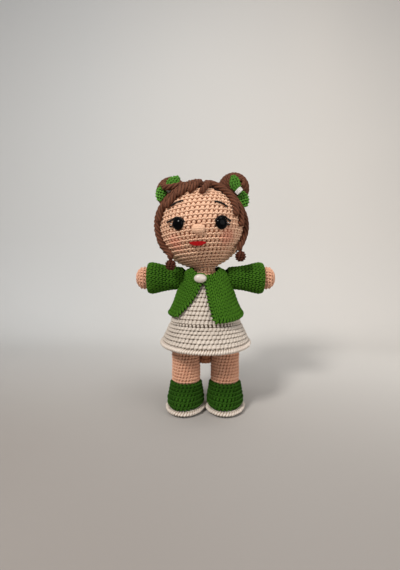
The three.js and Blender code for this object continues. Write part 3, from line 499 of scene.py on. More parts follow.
class Work:
    """One piece of the doll, gathered from its shells and the yarn worked over them."""

    def __init__(self, name, seed=1):
        self.name, self.bm, self.materials = name, blank(), []
        self.chance = random.Random(seed)

    def slot_of(self, material):
        if material not in self.materials:
            self.materials.append(material)
        return self.materials.index(material)

    def add(self, bm, material):
        """Takes in a shell."""
        for face in bm.faces:
            face.material_index = self.slot_of(material)
            face.smooth = True
        take_in(self.bm, baked(self.name, bm))
        return self

    def stitch(self, template, middle, across, up, depth, material, ragged=1.0):
        """One stitch, its width and height along the cloth and its depth out of it."""
        out = across.cross(up).normalized() * depth
        turn = Matrix.Rotation(self.chance.gauss(0, 0.05 * ragged), 3, out.normalized())
        grow = 1 + self.chance.gauss(0, 0.04 * ragged)
        columns = [turn @ across * grow, turn @ up * grow, out * (1 + self.chance.gauss(0, 0.05))]
        matrix = Matrix.Identity(4)
        for i, column in enumerate(columns):
            matrix.col[i][:3] = column * MM
        matrix.col[3][:3] = middle * MM
        mesh = template.copy()
        mesh.transform(matrix)
        count = len(mesh.polygons)
        mesh.polygons.foreach_set("material_index", [self.slot_of(material)] * count)
        mesh.polygons.foreach_set("use_smooth", [True] * count)
        take_in(self.bm, mesh)

    def rows(self, at, count, pitch, depth, material, start=0.0, end=1.0, out=0.0, keep=None,
             shift=0.16, template=None, overlap=1.06, closed=True, ragged=1.0, widen=1.04,
             upright=False):
        """Rows of stitches over a form, each row with as many as fit round it."""
        step = (end - start) / count
        for row in range(count):
            v = start + step * (row + 0.5)
            ring = Line([at(k / RING_STEPS, v, out) for k in range(RING_STEPS + 1)])
            middle = sum((p for p in ring.points[:-1]), Vector()) / RING_STEPS
            fit = max(5 if closed else 1, round(ring.length / pitch))
            phase = row * shift + self.chance.uniform(-0.03, 0.03)
            for i in range(fit):
                share = ((i + phase) / fit) % 1.0 if closed else (i + 0.5) / fit
                far = share * ring.length
                k = min(ring.step_at(far), RING_STEPS)
                span = ring.lengths[k] - ring.lengths[k - 1] or 1e-9
                u = (k - 1 + (far - ring.lengths[k - 1]) / span) / RING_STEPS
                place = at(u, v, out)
                if keep and not keep(place):
                    continue
                across = ring.points[k] - ring.points[k - 1]
                up = at(u, v + step / 2, out) - at(u, v - step / 2, out)
                across = across.normalized() * (ring.length / fit) * widen
                if up.length < 1e-6:
                    continue
                up = up * (-overlap if upright and up.z < 0 else overlap)
                if across.cross(up).dot(place - middle) < 0:
                    across = -across
                self.stitch(template or single, place, across, up, depth, material, ragged)
        return self

    def edge(self, points, pitch, thick, material, outward, template=None, closed=False):
        """Yarn wrapped along an edge, each wrap a little slanted."""
        line = Line([*points, points[0]] if closed else points)
        fit = max(2, round(line.length / pitch))
        for i in range(fit):
            place, along = line.at((i + 0.5) / fit)
            out = outward(place)
            out = (out - along * out.dot(along)).normalized()
            across = along * (line.length / fit)
            up = out.cross(across).normalized() * thick
            self.stitch(template or wrap_over, place, across * 1.15, up, thick, material, 0.7)
        return self

    def rope(self, points, radius, material, strands=3, lay=9.0, sides=12, step=0.9, lobes=0.16,
             outward=None, round_ends=True):
        """A cord whose strands wind round it, with rounded ends."""
        line = Line(points)
        rows = max(6, round(line.length / step))
        hint = outward or (lambda p: Vector((0.3, -1, 0.2)))

        def at(u, v, out=0.0):
            place, along = line.at(v)
            up = hint(place)
            up = (up - along * up.dot(along)).normalized()
            side = along.cross(up)
            far = v * line.length
            near = min(far, line.length - far, radius) / radius
            size = radius * (math.sqrt(max(1 - (1 - near) ** 2, 0.0)) if round_ends else 1.0)
            turn = u * TAU - far / lay * TAU
            ridge = 1 - lobes + lobes * abs(math.cos(strands * turn / 2)) ** 0.7
            return place + (side * math.cos(u * TAU) + up * math.sin(u * TAU)) * size * ridge
        cord = wrap(at, sides, rows)
        layer = cord.loops.layers.uv.active
        for face in cord.faces:
            for loop in face.loops:
                loop[layer].uv.y *= line.length / lay
        return self.add(cord, material)

    def done(self, body, slot, nodes=None, padded=None):
        """Makes the piece, which stands for the solid of its own name unless nodes says less."""
        nodes = [self.name] if nodes is None else nodes
        mesh = baked(self.name, self.bm)
        for material in self.materials:
            mesh.materials.append(material)
        piece = linked(self.name, mesh)
        if body:
            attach(piece, body)
        if nodes:
            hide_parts(*nodes)
        return piece


# Head
CAP_LEAN, CAP_FRONT, CAP_BACK, CAP_NAPE = math.radians(23), 0.37, 0.14, 0.17


def from_front_of_cap(place):
    """How far a place lies behind the cap's front edge, in the head's own frame."""
    local = head_matrix.inverted() @ place
    y, z = local.y + CAP_BACK * HEAD_RADIUS, local.z - CAP_FRONT * HEAD_HEIGHT
    return y * math.cos(CAP_LEAN) + z * math.sin(CAP_LEAN), local.z - CAP_NAPE * HEAD_HEIGHT


def under_cap(place, margin=0.0):
    behind, above = from_front_of_cap(place)
    return behind > margin and above > margin


eye_spots, nose_spot = {"left": (24, 0.422), "right": (-28, 0.444)}, (-4, 0.389)
eye_middles = [on_head(*spot) for spot in eye_spots.values()]
nose_middle = on_head(*nose_spot)
UNDER_HAIR, BEHIND_EYE, BEHIND_NOSE, CAP_EDGE = 2.0, 3.6, 3.2, 3.6


def bare_skin(place):
    """Whether stitches are needed at a place, since hair, eyes and nose hide the rest."""
    return (not under_cap(place, UNDER_HAIR)
            and all((place - eye).length > BEHIND_EYE for eye in eye_middles)
            and (place - nose_middle).length > BEHIND_NOSE)


head = Work("head_skin", 3)
head.add(wrap(head_form, 72, 60, out=-2.0), skin_shade_backing)
CHEEK_TOP, CROWN = 0.36, 0.985
head.rows(head_form, 10, 3.9, 3.8, skin_yarn, end=CHEEK_TOP, out=-0.8, keep=bare_skin, shift=0.3,
          overlap=1.1)
head.rows(head_form, 17, 4.4, 4.4, skin_yarn, start=CHEEK_TOP, end=CROWN, out=-0.8,
          keep=bare_skin, shift=0.3)
head.done("head", "skin_yarn", padded=0.9)


# The thickness of a crocheted cloth
CLOTH = 1.2


def cap_shell():
    bm = wrap(head_form, 72, 60, out=1.4)
    inverse = head_matrix.to_3x3()
    front = inverse @ Vector((0, math.cos(CAP_LEAN), math.sin(CAP_LEAN)))
    at_front = head_matrix @ Vector((0, -CAP_BACK * HEAD_RADIUS, CAP_FRONT * HEAD_HEIGHT))
    at_nape = head_matrix @ Vector((0, 0, CAP_NAPE * HEAD_HEIGHT))
    for point, normal in ((at_front, front), (at_nape, inverse @ UP)):
        bmesh.ops.bisect_plane(bm, geom=[*bm.verts, *bm.edges, *bm.faces], dist=1e-6,
                               plane_co=point * MM, plane_no=normal, clear_inner=True)
    bmesh.ops.solidify(bm, geom=bm.faces[:], thickness=CLOTH * MM)
    bmesh.ops.recalc_face_normals(bm, faces=bm.faces)
    return bm


cap = Work("hair_cap", 5)
cap.add(cap_shell(), brown_shade_backing)
cap.rows(head_form, 26, 4.8, 4.0, brown_yarn, end=CROWN, out=1.7,
         keep=lambda p: under_cap(p, CAP_EDGE))
cap.done("head", "brown_yarn", padded=0.5)


# Hair cords, sewn down over the cap, and the balls that end the long locks
CORD_RADIUS, CORD_LIFT, BALL_RADIUS, BUN_RADIUS = 3.0, 3.2, 4.7, 16.2
ball_spots = {"left": (58.5, 0.965, 0.091), "right": (-53, 0.925, 0.052)}
cord_spots = {
    "lock_right": ((-90, 0.955), (-56, 0.88), (-61, 0.77), (-71, 0.66), (-74, 0.56), (-67, 0.455),
                   (-63, 0.36), (-60, 0.3)),
    "lock_left": ((90, 0.945), (66, 0.87), (66, 0.77), (72, 0.67), (77, 0.57), (75, 0.48),
                  (70, 0.39), (66, 0.31)),
    "strand_right_1": ((-60, 0.95), (-41, 0.85), (-49, 0.75), (-58, 0.65), (-62, 0.57),
                       (-62, 0.494)),
    "strand_right_2": ((-25, 0.945), (-27, 0.85), (-34, 0.74), (-43, 0.65), (-49, 0.585)),
    "strand_right_3": ((0, 0.92), (-11, 0.85), (-23, 0.75), (-34, 0.67)),
    "fringe_middle_right": ((12, 0.89), (1, 0.83), (-7, 0.765), (-16, 0.7)),
    "fringe_middle_left": ((28, 0.85), (20, 0.79), (11, 0.73), (3, 0.67)),
    "strand_left_1": ((44, 0.88), (43, 0.8), (50, 0.73), (54, 0.65), (51, 0.56), (46, 0.48)),
    "strand_left_2": ((62, 0.92), (56, 0.83), (60, 0.745), (65, 0.65), (61, 0.54), (55, 0.41)),
}
# The strand on the right starts at the bun and crosses the middle of the bow
bow_crossing = ((-0.79, -0.2, 1.03), (-0.72, -0.41, 0.95))
head_middle = head_matrix @ Vector((0, 0, HEAD_HEIGHT * 0.45))


def off_head(place):
    return (place - head_middle).normalized()


def hanging(spot, rise=0.0):
    return head_matrix @ about_z(
        math.radians(spot[0]), spot[1] * HEAD_RADIUS, spot[2] * HEAD_HEIGHT + rise)


for name, spots in cord_spots.items():
    points = [on_head(*spot, CORD_LIFT) for spot in spots]
    if name.startswith("lock"):
        spot = ball_spots[name.split("_")[1]]
        points += [hanging(spot, BALL_RADIUS * 2), hanging(spot, BALL_RADIUS)]
    if name == "strand_right_1":
        points = [head_spot(spot) for spot in bow_crossing] + points[1:]
    cord = Work(name, len(name))
    cord.rope(smooth(points, 90).points, CORD_RADIUS, brown_yarn, strands=4, lay=20.0, sides=28,
              step=0.6, lobes=0.4, outward=off_head)
    cord.done("head", "brown_yarn")


def ball_form(middle, radius, matrix=Matrix()):
    line = Line([(radius * math.sin(k / 24 * math.pi), -radius * math.cos(k / 24 * math.pi))
                 for k in range(25)])
    return turned(line, Matrix.Translation(middle) @ matrix)


for name, spot in ball_spots.items():
    form = ball_form(hanging(spot), BALL_RADIUS)
    ball = Work(f"lock_ball_{name}", 7)
    ball.add(wrap(form, 24, 16, out=-0.8), brown_shade_backing)
    ball.rows(form, 6, 3.0, 2.6, ball_yarn, start=0.04, end=0.97, out=-0.5)
    ball.done("head", "brown_yarn")


# Buns: one long cord coiled round and round
def facing(direction):
    """A turn that brings Z to a direction."""
    return Vector(direction).to_track_quat("Z", "Y").to_matrix().to_4x4()


BUN_CORD, BUN_TURNS, BUN_STEPS = 2.35, 10.5, 720
bun_spots = {"left": (0.875, 0.144, 0.961), "right": (-0.641, 0.144, 0.966)}
for name, spot in bun_spots.items():
    middle = head_spot(spot)
    tilt = facing((0.35 if name == "left" else -0.35, -1, 0.25))
    bun = Work(f"bun_{name}", 11)
    bun.add(wrap(ball_form(middle, BUN_RADIUS - 3.4), 40, 28), brown_shade_backing)
    reach = BUN_RADIUS - BUN_CORD
    coil = []
    for k in range(BUN_STEPS + 1):
        share = k / BUN_STEPS
        fall, round_it = math.pi * (0.03 + 0.94 * share), TAU * BUN_TURNS * share
        coil.append(Matrix.Translation(middle) @ tilt @ Vector((
            reach * math.sin(fall) * math.cos(round_it),
            reach * math.sin(fall) * math.sin(round_it), reach * math.cos(fall))))
    bun.rope(coil, BUN_CORD, brown_yarn, strands=4, lay=14.0, sides=14, step=1.0, lobes=0.34,
             outward=lambda p, m=middle: (p - m).normalized())
    bun.done("head", "brown_yarn", padded=0.8)

# Bows: crocheted leaves and a knot
LEAF_LENGTH, LEAF_WIDTH, LEAF_DEPTH = 16, 5.1, 1.9
KNOT_REACH, KNOT_SWELL, KNOT_THREAD = 3.8, 1.4, 0.85
leaf_spots = {
    "bow_leaf_left_1": ((0.86, -0.29, 0.952), (-0.17, 0.98)),
    "bow_leaf_left_2": ((1.05, -0.17, 0.785), (0.2, -0.98)),
    "bow_leaf_right_1": ((-0.572, -0.21, 1.039), (0.81, 0.58)),
    "bow_leaf_right_2": ((-0.859, -0.22, 0.922), (-0.35, -0.94)),
}
knot_spots = {"left": (0.932, -0.29, 0.859), "right": (-0.69, -0.25, 0.95)}


for name, (spot, tip) in leaf_spots.items():
    middle = head_spot(spot)
    along = (head_matrix.to_3x3() @ Vector((tip[0], 0, tip[1]))).normalized()
    across = Vector((0, 1, 0)).cross(along).normalized()
    face = along.cross(across)

    def leaf_form(u, v, out=0.0):
        width = max(math.sin(math.pi * (0.06 + 0.92 * v ** 1.15)) ** 0.75, 0.05)
        return (middle + along * (v - 0.5) * LEAF_LENGTH
                + across * (LEAF_WIDTH * width + out) * math.cos(u * TAU)
                + face * (LEAF_DEPTH * width ** 0.5 + out) * math.sin(u * TAU))
    leaf = Work(name, 13)
    leaf.add(wrap(leaf_form, 20, 14, out=-0.7), green_shade_backing)
    leaf.rows(leaf_form, 6, 2.7, 2.4, bow_yarn, start=0.03, end=0.99, out=-0.35)
    leaf.done("head", "green_yarn")

for name, spot in knot_spots.items():
    middle = head_spot(spot) + Vector((0, -1.2, 0))
    side = 1 if name == "left" else -1
    lie = Vector((0.72 * side, -0.1, 0.69))
    knot = Work(f"bow_knot_{name}", 17)
    for shift in (-1.2, 0.0, 1.2):
        off = lie.cross(Vector((0, -1, 0))).normalized() * shift
        over = smooth([middle + off - lie * KNOT_REACH,
                       middle + off * 1.2 - Vector((0, KNOT_SWELL, 0)),
                       middle + off + lie * KNOT_REACH], 24)
        knot.rope(over.points, KNOT_THREAD, knot_yarn, strands=2, lay=4.0, sides=10, step=0.4)
    knot.done("head", "white_yarn")


# Face
def seated(degrees, share, lift=0.0):
    out = out_of_head(degrees, share)
    return Matrix.Translation(on_head(degrees, share, lift)) @ facing(out)


EYE_RADIUS, EYE_HEIGHT, STEM_RADIUS, STEM_LENGTH = 5.5, 3.3, 1.7, 9.5
for name, spot in eye_spots.items():
    dome = Line([(0, -STEM_LENGTH), (STEM_RADIUS, -STEM_LENGTH), (STEM_RADIUS, -0.2),
                 (EYE_RADIUS - 0.4, -0.2), (EYE_RADIUS - 0.1, 0.1),
                 *[(EYE_RADIUS * math.cos(k / 16 * QUARTER),
                    0.5 + EYE_HEIGHT * math.sin(k / 16 * QUARTER)) for k in range(17)]])
    eye = Work(f"eye_{name}")
    eye.add(wrap(turned(dome, seated(*spot, 0.7)), 48, 90), eye_plastic)
    eye.done("head", "eye_plastic")

THREAD_LIFT, THICK_THREAD, THIN_THREAD, FINE_THREAD = 1.7, 0.85, 0.7, 0.4
THREAD = {"strands": 2, "sides": 10, "outward": off_head}


def beside_eye(name, *offsets):
    """Places on the head, by how far they lie across and above the eye's middle."""
    degrees, share = eye_spots[name]
    reach = HEAD_RADIUS * math.cos(math.radians(degrees))
    return [(degrees + math.degrees(across / reach), share + up / head_line.length)
            for across, up in offsets]


brow_spots = {
    "left": ((19, 0.588), (25, 0.585), (31, 0.573), (37, 0.549)),
    "right": ((-22, 0.622), (-30, 0.62), (-37, 0.61), (-42, 0.596)),
}
lid_spots = {
    "left": beside_eye("left", (-5.2, 2.0), (-2.6, 4.8), (0.8, 5.8), (3.6, 5.0), (6.0, 3.2),
                       (8.8, 1.6)),
    "right": beside_eye("right", (5.8, 0.4), (3.5, 3.4), (-0.8, 5.4), (-3.6, 4.4), (-6.2, 3.6),
                        (-10.6, 3.2)),
}
low_lash_spots = {
    "left": beside_eye("left", (4.0, -1.0), (6.0, -1.2), (8.0, -0.7)),
    "right": beside_eye("right", (-4.2, -1.0), (-6.0, -0.9), (-8.0, -1.0)),
}
accent_spots = {
    "left": beside_eye("left", (5.4, 0.7), (7.0, 0.5)),
    "right": beside_eye("right", (-5.3, 1.2), (-7.0, 1.2)),
}


def face_line(spots, lift, count=30):
    return smooth([on_head(*spot, lift) for spot in spots], count).points


for name in ("left", "right"):
    brow = Work(f"brow_{name}")
    brow.rope(face_line(brow_spots[name], THREAD_LIFT), THICK_THREAD, black_thread, lay=2.4,
              step=0.3, **THREAD)
    brow.done("head", "black_thread")
    lashes = Work(f"lashes_{name}")
    for spots, lift, radius in ((lid_spots, THREAD_LIFT + 0.5, THICK_THREAD),
                                (lid_spots, THREAD_LIFT, THIN_THREAD),
                                (low_lash_spots, THREAD_LIFT, THIN_THREAD)):
        lashes.rope(face_line(spots[name], lift), radius, black_thread, lay=2.6, step=0.3,
                    **THREAD)
    # The white stitches at the outer corner of the eye
    lashes.rope(face_line(accent_spots[name], THREAD_LIFT - 0.2, 8), FINE_THREAD, knot_yarn,
                lay=2.4, step=0.3, **THREAD)
    lashes.done("head", "black_thread")

mouth = Work("mouth")
mouth_line = smooth([on_head(*spot, 1.0) for spot in (
    (-18, 0.296), (-12, 0.295), (-6, 0.293), (0, 0.29), (5, 0.286))], 40)
for drop, ends in ((0.6, 0.05), (0.2, 0.0), (-0.5, 0.02), (-1.4, 0.1), (-2.1, 0.2)):
    points = []
    for k in range(25):
        share = mix(ends, 1 - ends, k / 24)
        swell = math.sin(math.pi * share) ** 0.6
        points.append(mouth_line.at(share)[0] + UP * drop * swell
                      + off_head(mouth_line.at(share)[0]) * 0.7 * swell)
    mouth.rope(points, 0.72, red_thread, lay=6.0, step=0.4, lobes=0.1, **THREAD)
mouth.done("head", "red_thread")

NOSE_WIDTH, NOSE_HEIGHT, NOSE_DEPTH = 5.6, 3.7, 3.3
nose = Work("nose")
nose_seat = seated(*nose_spot, 0.2)


def nose_form(u, v, out=0.0):
    fall = v * math.pi
    return nose_seat @ Vector((-(NOSE_WIDTH + out) * math.cos(fall),
                               (NOSE_HEIGHT + out) * math.sin(fall) * math.cos(u * TAU),
                               (NOSE_DEPTH + out) * math.sin(fall) * math.sin(u * TAU)))


nose.add(wrap(nose_form, 28, 20, out=-0.5), skin_yarn)
for k in range(8):
    turn = (k + 0.5) / 16
    nose.rope([nose_form(turn, 0.06 + 0.88 * i / 20, -0.25) for i in range(21)], 0.95, skin_yarn,
              lay=6.0, step=0.5, lobes=0.1, **THREAD)
nose.done("head", "skin_yarn")


# Torso
def neck_form(u, v, out=0.0):
    height = mix(NECK_BASE + 0.2, NECK_TOP + 0.6, v)
    share = (height - NECK_BASE) / (NECK_TOP - NECK_BASE)
    x = (NECK_RADIUS + out) * math.sin(u * TAU)
    lean = HEAD_LEAN * share
    return Vector((x * math.cos(lean) + NECK_SIDE * share,
                   -(NECK_RADIUS + out) * math.cos(u * TAU), height + x * math.sin(lean)))


neck = Work("neck", 19)
neck.add(wrap(neck_form, 40, 6, out=-1.4), skin_shade_backing)
neck.rows(neck_form, 2, 3.9, 4.0, neck_painted_light_yarn, out=-0.5)
neck.rows(torso_form, 3, 3.9, 3.6, neck_painted_light_yarn, start=0.83, end=1.0, out=-0.2)
neck.done("root", "skin_yarn", padded=0.8)

bodice = Work("bodice", 23)
bodice.add(wrap(torso_form, 64, 40, out=-1.4), white_shade_backing)
bodice.rows(torso_form, 11, 3.7, 3.9, white_yarn, start=0.034, end=0.86, out=-0.6, shift=0.42,
            template=nub, overlap=1.2)
# Open eyelets at the waist, with one post of yarn between each two
bodice.add(wrap(torso_form, 64, 4, out=-0.9, start=0.0, end=0.06, thickness=-0.6), eyelet_painted_shade)
bodice.rows(lambda u, v, out=0.0: torso_form(u, mix(0.012, 0.036, v), out), 1, 3.6, 3.0, white_yarn,
            out=-0.2, template=post, overlap=1.6, widen=1.2)
bodice.done("root", "white_yarn", padded=0.9)


# Height, half width and half depth of the hips
hip_levels = ((63, 32.9, 18.5), (65.5, 35.4, 21), (80.5, 34.2, 34.2), (83.2, 34.2, 34.2))


def hip_form(u, v, out=0.0):
    height, wide, deep = at_level(hip_levels, v)
    return about_z(u * TAU, wide + out, height, deep + out)


WEB_WIDTH, WEB_DEPTH, WEB_BOTTOM, WEB_TOP = 5.6, 11, 44.0, 64


def web_form(u, v, out=0.0):
    deep = WEB_DEPTH * (0.5 + 0.5 * min(v * 1.6, 1.0))
    return about_z(u * TAU, WEB_WIDTH + out, mix(WEB_BOTTOM, WEB_TOP, v), deep + out)


lower = Work("lower_body", 29)
lower.add(wrap(hip_form, 48, 18, out=-1.4), skin_shade_backing)
lower.add(wrap(web_form, 24, 10, out=-0.8), skin_shade_backing)
lower.rows(hip_form, 4, 4.6, 4.6, leg_yarn, end=0.6, out=-0.8)
lower.rows(web_form, 4, 4.0, 3.6, web_shaded_yarn, out=-0.5)
lower.done("root", "skin_yarn", padded=0.9)

# Skirt. Its top is narrower than its hem, so its cloth is less than the two sizes give
SAG, HEM_RADIUS, HEM_HEIGHT, SKIRT_SHARE = 3.0, 41.8, 65.7, 0.93
skirt_line = smooth([(34.4, 82.8), (36.4, 78.4), (39.0, 73.0), (41.6, 67.3)], 30)
plain_skirt = turned(skirt_line)


def skirt_form(u, v, out=0.0):
    """The skirt hangs a little lower in front than behind."""
    return plain_skirt(u, v, out) - UP * SAG * math.cos(u * TAU) * v ** 2


skirt_cloth = Work("skirt", 31)
skirt_cloth.add(wrap(skirt_form, 72, 12, out=0.9, thickness=CLOTH), white_shade_backing)
skirt_cloth = skirt_cloth.done("root", "white_yarn")
skirt_rows = Work("skirt_rows", 32)
skirt_rows.rows(skirt_form, 5, 3.8, 3.8, white_yarn, out=-0.5, end=0.98, upright=True, shift=0.42,
                template=nub, overlap=1.2)
skirt_rows = skirt_rows.done("root", "white_yarn", nodes=())


def away_from_axis(place):
    return Vector((place.x, place.y, 0)).normalized()


hem = Work("skirt_hem", 37)
hem_ring = [about_z(k / 96 * TAU, HEM_RADIUS, HEM_HEIGHT) for k in range(96)]
hem_ring = [p + UP * SAG * p.y / HEM_RADIUS for p in hem_ring]
hem.rope([*hem_ring, hem_ring[0]], 1.9, white_shade_backing, lay=16.0, lobes=0.0, outward=lambda p: UP,
         round_ends=False)
hem.edge(hem_ring, 2.35, 5.0, hem_yarn, away_from_axis, template=fat_wrap, closed=True)
hem = hem.done("root", "white_yarn")

# Bolero: panels round the torso, a row of wrapped yarn along every open edge
COLLAR_RADIUS, COLLAR_HEIGHT, NECKLINE, JACKET_RADIUS = 12.2, 137.3, 0.25, 38.6
FRONT_LEFT_HEM, FRONT_RIGHT_HEM, SIDE_HEM = 88.5, 91.5, 95.0
jacket_line = smooth([(COLLAR_RADIUS, COLLAR_HEIGHT), *[
    (mix(COLLAR_RADIUS, JACKET_RADIUS, spread), mix(COLLAR_HEIGHT, FRONT_LEFT_HEM - 0.3, drop))
    for spread, drop in ((0.13, 0.015), (0.28, 0.06), (0.39, 0.15), (0.49, 0.3), (0.58, 0.46),
                         (0.72, 0.68), (0.87, 0.85), (1, 1))]], 60)


def jacket_reach(height):
    """The share of the jacket's line at which it comes down to a height."""
    points = jacket_line.points
    k = max(next(k for k, p in enumerate(points) if p.y <= height), 1)
    above, below = points[k - 1].y, points[k].y
    return (k - 1 + (above - height) / (above - below)) / (len(points) - 1)


def on_jacket(angle, share, out=0.0):
    point, along = jacket_line.at(share)
    return about_z(angle, point.x - along.y * out, point.y + along.x * out)


def hem_height(angle, front):
    return mix(SIDE_HEM, front, max(math.cos(angle), 0.0))


# Where each panel starts and ends round the doll, by its share of the way down, its hem, its open
# side, and its cloth in metres: the flat size and the area once the armhole is open
jacket_panels = {
    "jacket_front_left": (lambda down: QUARTER * mix(-0.02, 0.13, down), lambda down: QUARTER,
                          FRONT_LEFT_HEM, 0.0, (0.054, 0.052), 0.0022),
    "jacket_front_right": (lambda down: -QUARTER,
                           lambda down: -QUARTER * mix(0.1, 0.52, down ** 1.6),
                           FRONT_RIGHT_HEM, 1.0, (0.042, 0.049), 0.0015),
    "jacket_back": (lambda down: QUARTER, lambda down: 3 * QUARTER,
                    SIDE_HEM, None, (0.116, 0.052), 0.0044),
}
ARMHOLE, CLOTH_ARMHOLE = 10.4, 9.0


def outside_sleeves(place, radius=ARMHOLE):
    """Whether a place lies outside both armholes."""
    side = abs(place.x) - SHOULDER_SPAN
    away = math.hypot(place.y, place.z - SHOULDER_HEIGHT)
    return (away if side > 0 else math.hypot(away, side)) > radius


for name, (start_at, end_at, front, open_side, (wide, tall), area) in jacket_panels.items():
    def panel(u, v, out=0.0):
        angle = mix(start_at(v), end_at(v), u)
        neckline = NECKLINE * max(math.cos(angle), 0.0) ** 2
        return on_jacket(angle, mix(neckline, jacket_reach(hem_height(angle, front)), v), out)
    cloth, jacket = Work(name, 41), Work(f"{name}_rows", 41)
    cloth.add(wrap(panel, 48, 48, out=-0.7, thickness=-CLOTH,
                   keep=lambda p: outside_sleeves(p, CLOTH_ARMHOLE)), jacket_shade_backing)
    jacket.rows(panel, 14, 4.1, 4.3, green_yarn, end=0.97, out=0.2, closed=False, template=vee,
                keep=outside_sleeves, upright=True)
    edges = [[panel(k / 40, v) for k in range(41)] for v in (1.0, 0.0)]
    if open_side is not None:
        edges.append([panel(open_side, k / 40) for k in range(41)])
    for points in edges:
        jacket.rope(points, 1.3, green_shade_backing, **CORE)
        jacket.edge(points, 3.4, 3.9, green_yarn, away_from_axis)
    cloth.done("root", "green_yarn")
    jacket.done("root", "green_yarn", nodes=())

# Pearl button and its loop
pearl_middle, pearl_size = Vector((-5.2, -26.2, 127)), (5.9, 3.4, 4.1)
pearl = Work("pearl_button")
bead = ball_mesh(40, 24)
for vert in bead.verts:
    vert.co = (pearl_middle + Vector([c * half for c, half in zip(vert.co, pearl_size)])) * MM
pearl.add(bead, pearl_plastic)
pearl.done("root", "pearl_plastic")
loop = Work("button_loop")
loop.rope([pearl_middle + Vector((6.1 * math.sin(k / 40 * TAU), 1.5, 4.3 * math.cos(k / 40 * TAU)))
           for k in range(41)], 0.95, green_yarn, strands=2, lay=4.0, sides=10, step=0.6,
          round_ends=False)
loop.done("root", "green_yarn")

# Arms and sleeves
arm_line = smooth([(0, -8.3), (5.1, -6.5), (7.7, -3.1), (8.3, 0), (7.6, 8.3), (7.8, 17.4),
                   (9.4, 24.9), (10.6, 31.1), (10.2, 36.5), (6.0, 40.3), (0, 41.5)], 60)
sleeve_line = smooth([(7.9, -7), (10.0, -3.5), (10.7, 0), (11.2, 6), (12.6, 14.1), (14.4, 21.5),
                      (15.1, 25.5), (14.8, 28.2), (13.2, 29.8)], 40)
for name, side in SIDES:
    shoulder = (Matrix.Translation((side * SHOULDER_SPAN, 0, SHOULDER_HEIGHT))
                @ Matrix.Rotation(side * QUARTER, 4, "Y"))
    arm_form, sleeve_form = turned(arm_line, shoulder), turned(sleeve_line, shoulder)
    arm = Work(f"arm_{name}", 43)
    arm.add(wrap(arm_form, 32, 40, out=-1.5), skin_shade_backing)
    arm.rows(arm_form, 10, 3.3, 3.2, leg_yarn, start=0.46, end=0.98, out=-0.8)
    arm.done(f"arm_{name}", "skin_yarn", padded=0.9)

    cloth = Work(f"sleeve_{name}", 47).add(
        wrap(sleeve_form, 40, 20, out=-0.9, thickness=-CLOTH), green_shade_backing)
    cloth = cloth.done(None, "green_yarn")
    rows = Work(f"sleeve_{name}_rows", 47).rows(
        sleeve_form, 11, 3.8, 4.0, green_yarn, start=0.06, out=-0.3, template=vee)
    rows = rows.done(None, "green_yarn", nodes=())
    for piece in (cloth, rows):
        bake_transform(piece)

# Legs and boots
leg_line = smooth([(10.6, 10.5), (11.2, 18), (12.0, 25), (13.2, 28.5), (13.3, 45), (13.6, 58),
                   (12.7, 63), (9.2, 68.2), (0, 71.6)], 60)
# Height, half width and the reach to toe and heel
boot_levels = ((4.9, 16.8, 24.0, 15.0), (10.3, 17.1, 22.6, 15.0), (16.0, 16.2, 18.5, 15.0),
               (20.8, 15.3, 15.8, 14.9), (25.2, 14.6, 14.6, 14.6))
SOLE_SHARE, SOLE_HEIGHT = 0.82, 1.2
toe_turn = Matrix.Rotation(TOE_TURN, 4, "Z")
for name, side in SIDES:
    foot = Matrix.Translation((side * LEG_SPAN, 0, 0))
    leg_form = turned(leg_line, foot)
    leg = Work(f"leg_{name}", 53)
    leg.add(wrap(leg_form, 40, 40, out=-1.5), skin_shade_backing)
    leg.rows(leg_form, 18, 3.25, 3.2, leg_yarn, start=0.14, end=0.92, out=-0.5, shift=0.24)
    leg.done(f"leg_{name}", "skin_yarn", padded=0.9)

    def boot_form(u, v, out=0.0):
        height, wide, front, back = at_level(boot_levels, v)
        deep = front if math.cos(u * TAU) > 0 else back
        return foot @ toe_turn @ about_z(u * TAU, wide + out, height, deep + out)

    def sole_form(u, v, out=0.0):
        wide, front, back = boot_levels[0][1:]
        reach, deep = SOLE_SHARE * v, front if math.cos(u * TAU) > 0 else back
        return foot @ toe_turn @ about_z(u * TAU, wide * reach, SOLE_HEIGHT - out, deep * reach)

    boot = Work(f"boot_{name}", 59)
    boot.add(wrap(boot_form, 48, 24, out=-1.5), green_shade_backing)
    boot.rows(boot_form, 6, 3.8, 4.0, boot_yarn, out=-0.5, shift=0.3)
    top = [boot_form(k / 60, 1.0, -1.0) for k in range(60)]
    boot.rope([*top, top[0]], 1.0, green_shade_backing, round_ends=False, **CORE)
    boot.edge(top, 3.6, 3.0, boot_yarn, lambda p: UP, closed=True)
    boot.done(f"leg_{name}", "green_yarn", padded=0.9)

    rim = Work(f"sole_rim_{name}", 61)
    welt = [boot_form(k / 72, 0.0, 0.2) + Vector((0, 0, -2.5)) for k in range(72)]
    rim.rope([*welt, welt[0]], 1.7, white_shade_backing, lay=15.0, lobes=0.0, outward=lambda p: UP,
             round_ends=False)
    rim.edge(welt, 2.5, 4.4, hem_yarn, lambda p, f=foot: away_from_axis(p - f.translation),
             template=fat_wrap, closed=True)
    rim.done(f"leg_{name}", "white_yarn")

    sole = Work(f"sole_{name}", 67)
    sole.add(wrap(sole_form, 48, 8, out=-0.6, thickness=-CLOTH), green_shade_backing)
    sole.rows(sole_form, 4, 4.4, 2.0, green_yarn, out=0.0)
    sole.done(f"leg_{name}", "green_yarn")

# Filling and washers stay the frame's own solids, with a finish of their own
inner = {"stuffing": filling, "washer": washer_plastic}
for name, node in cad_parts.items():
    for word, material in inner.items():
        if word in name:
            for slot in node.material_slots:
                slot.material = material


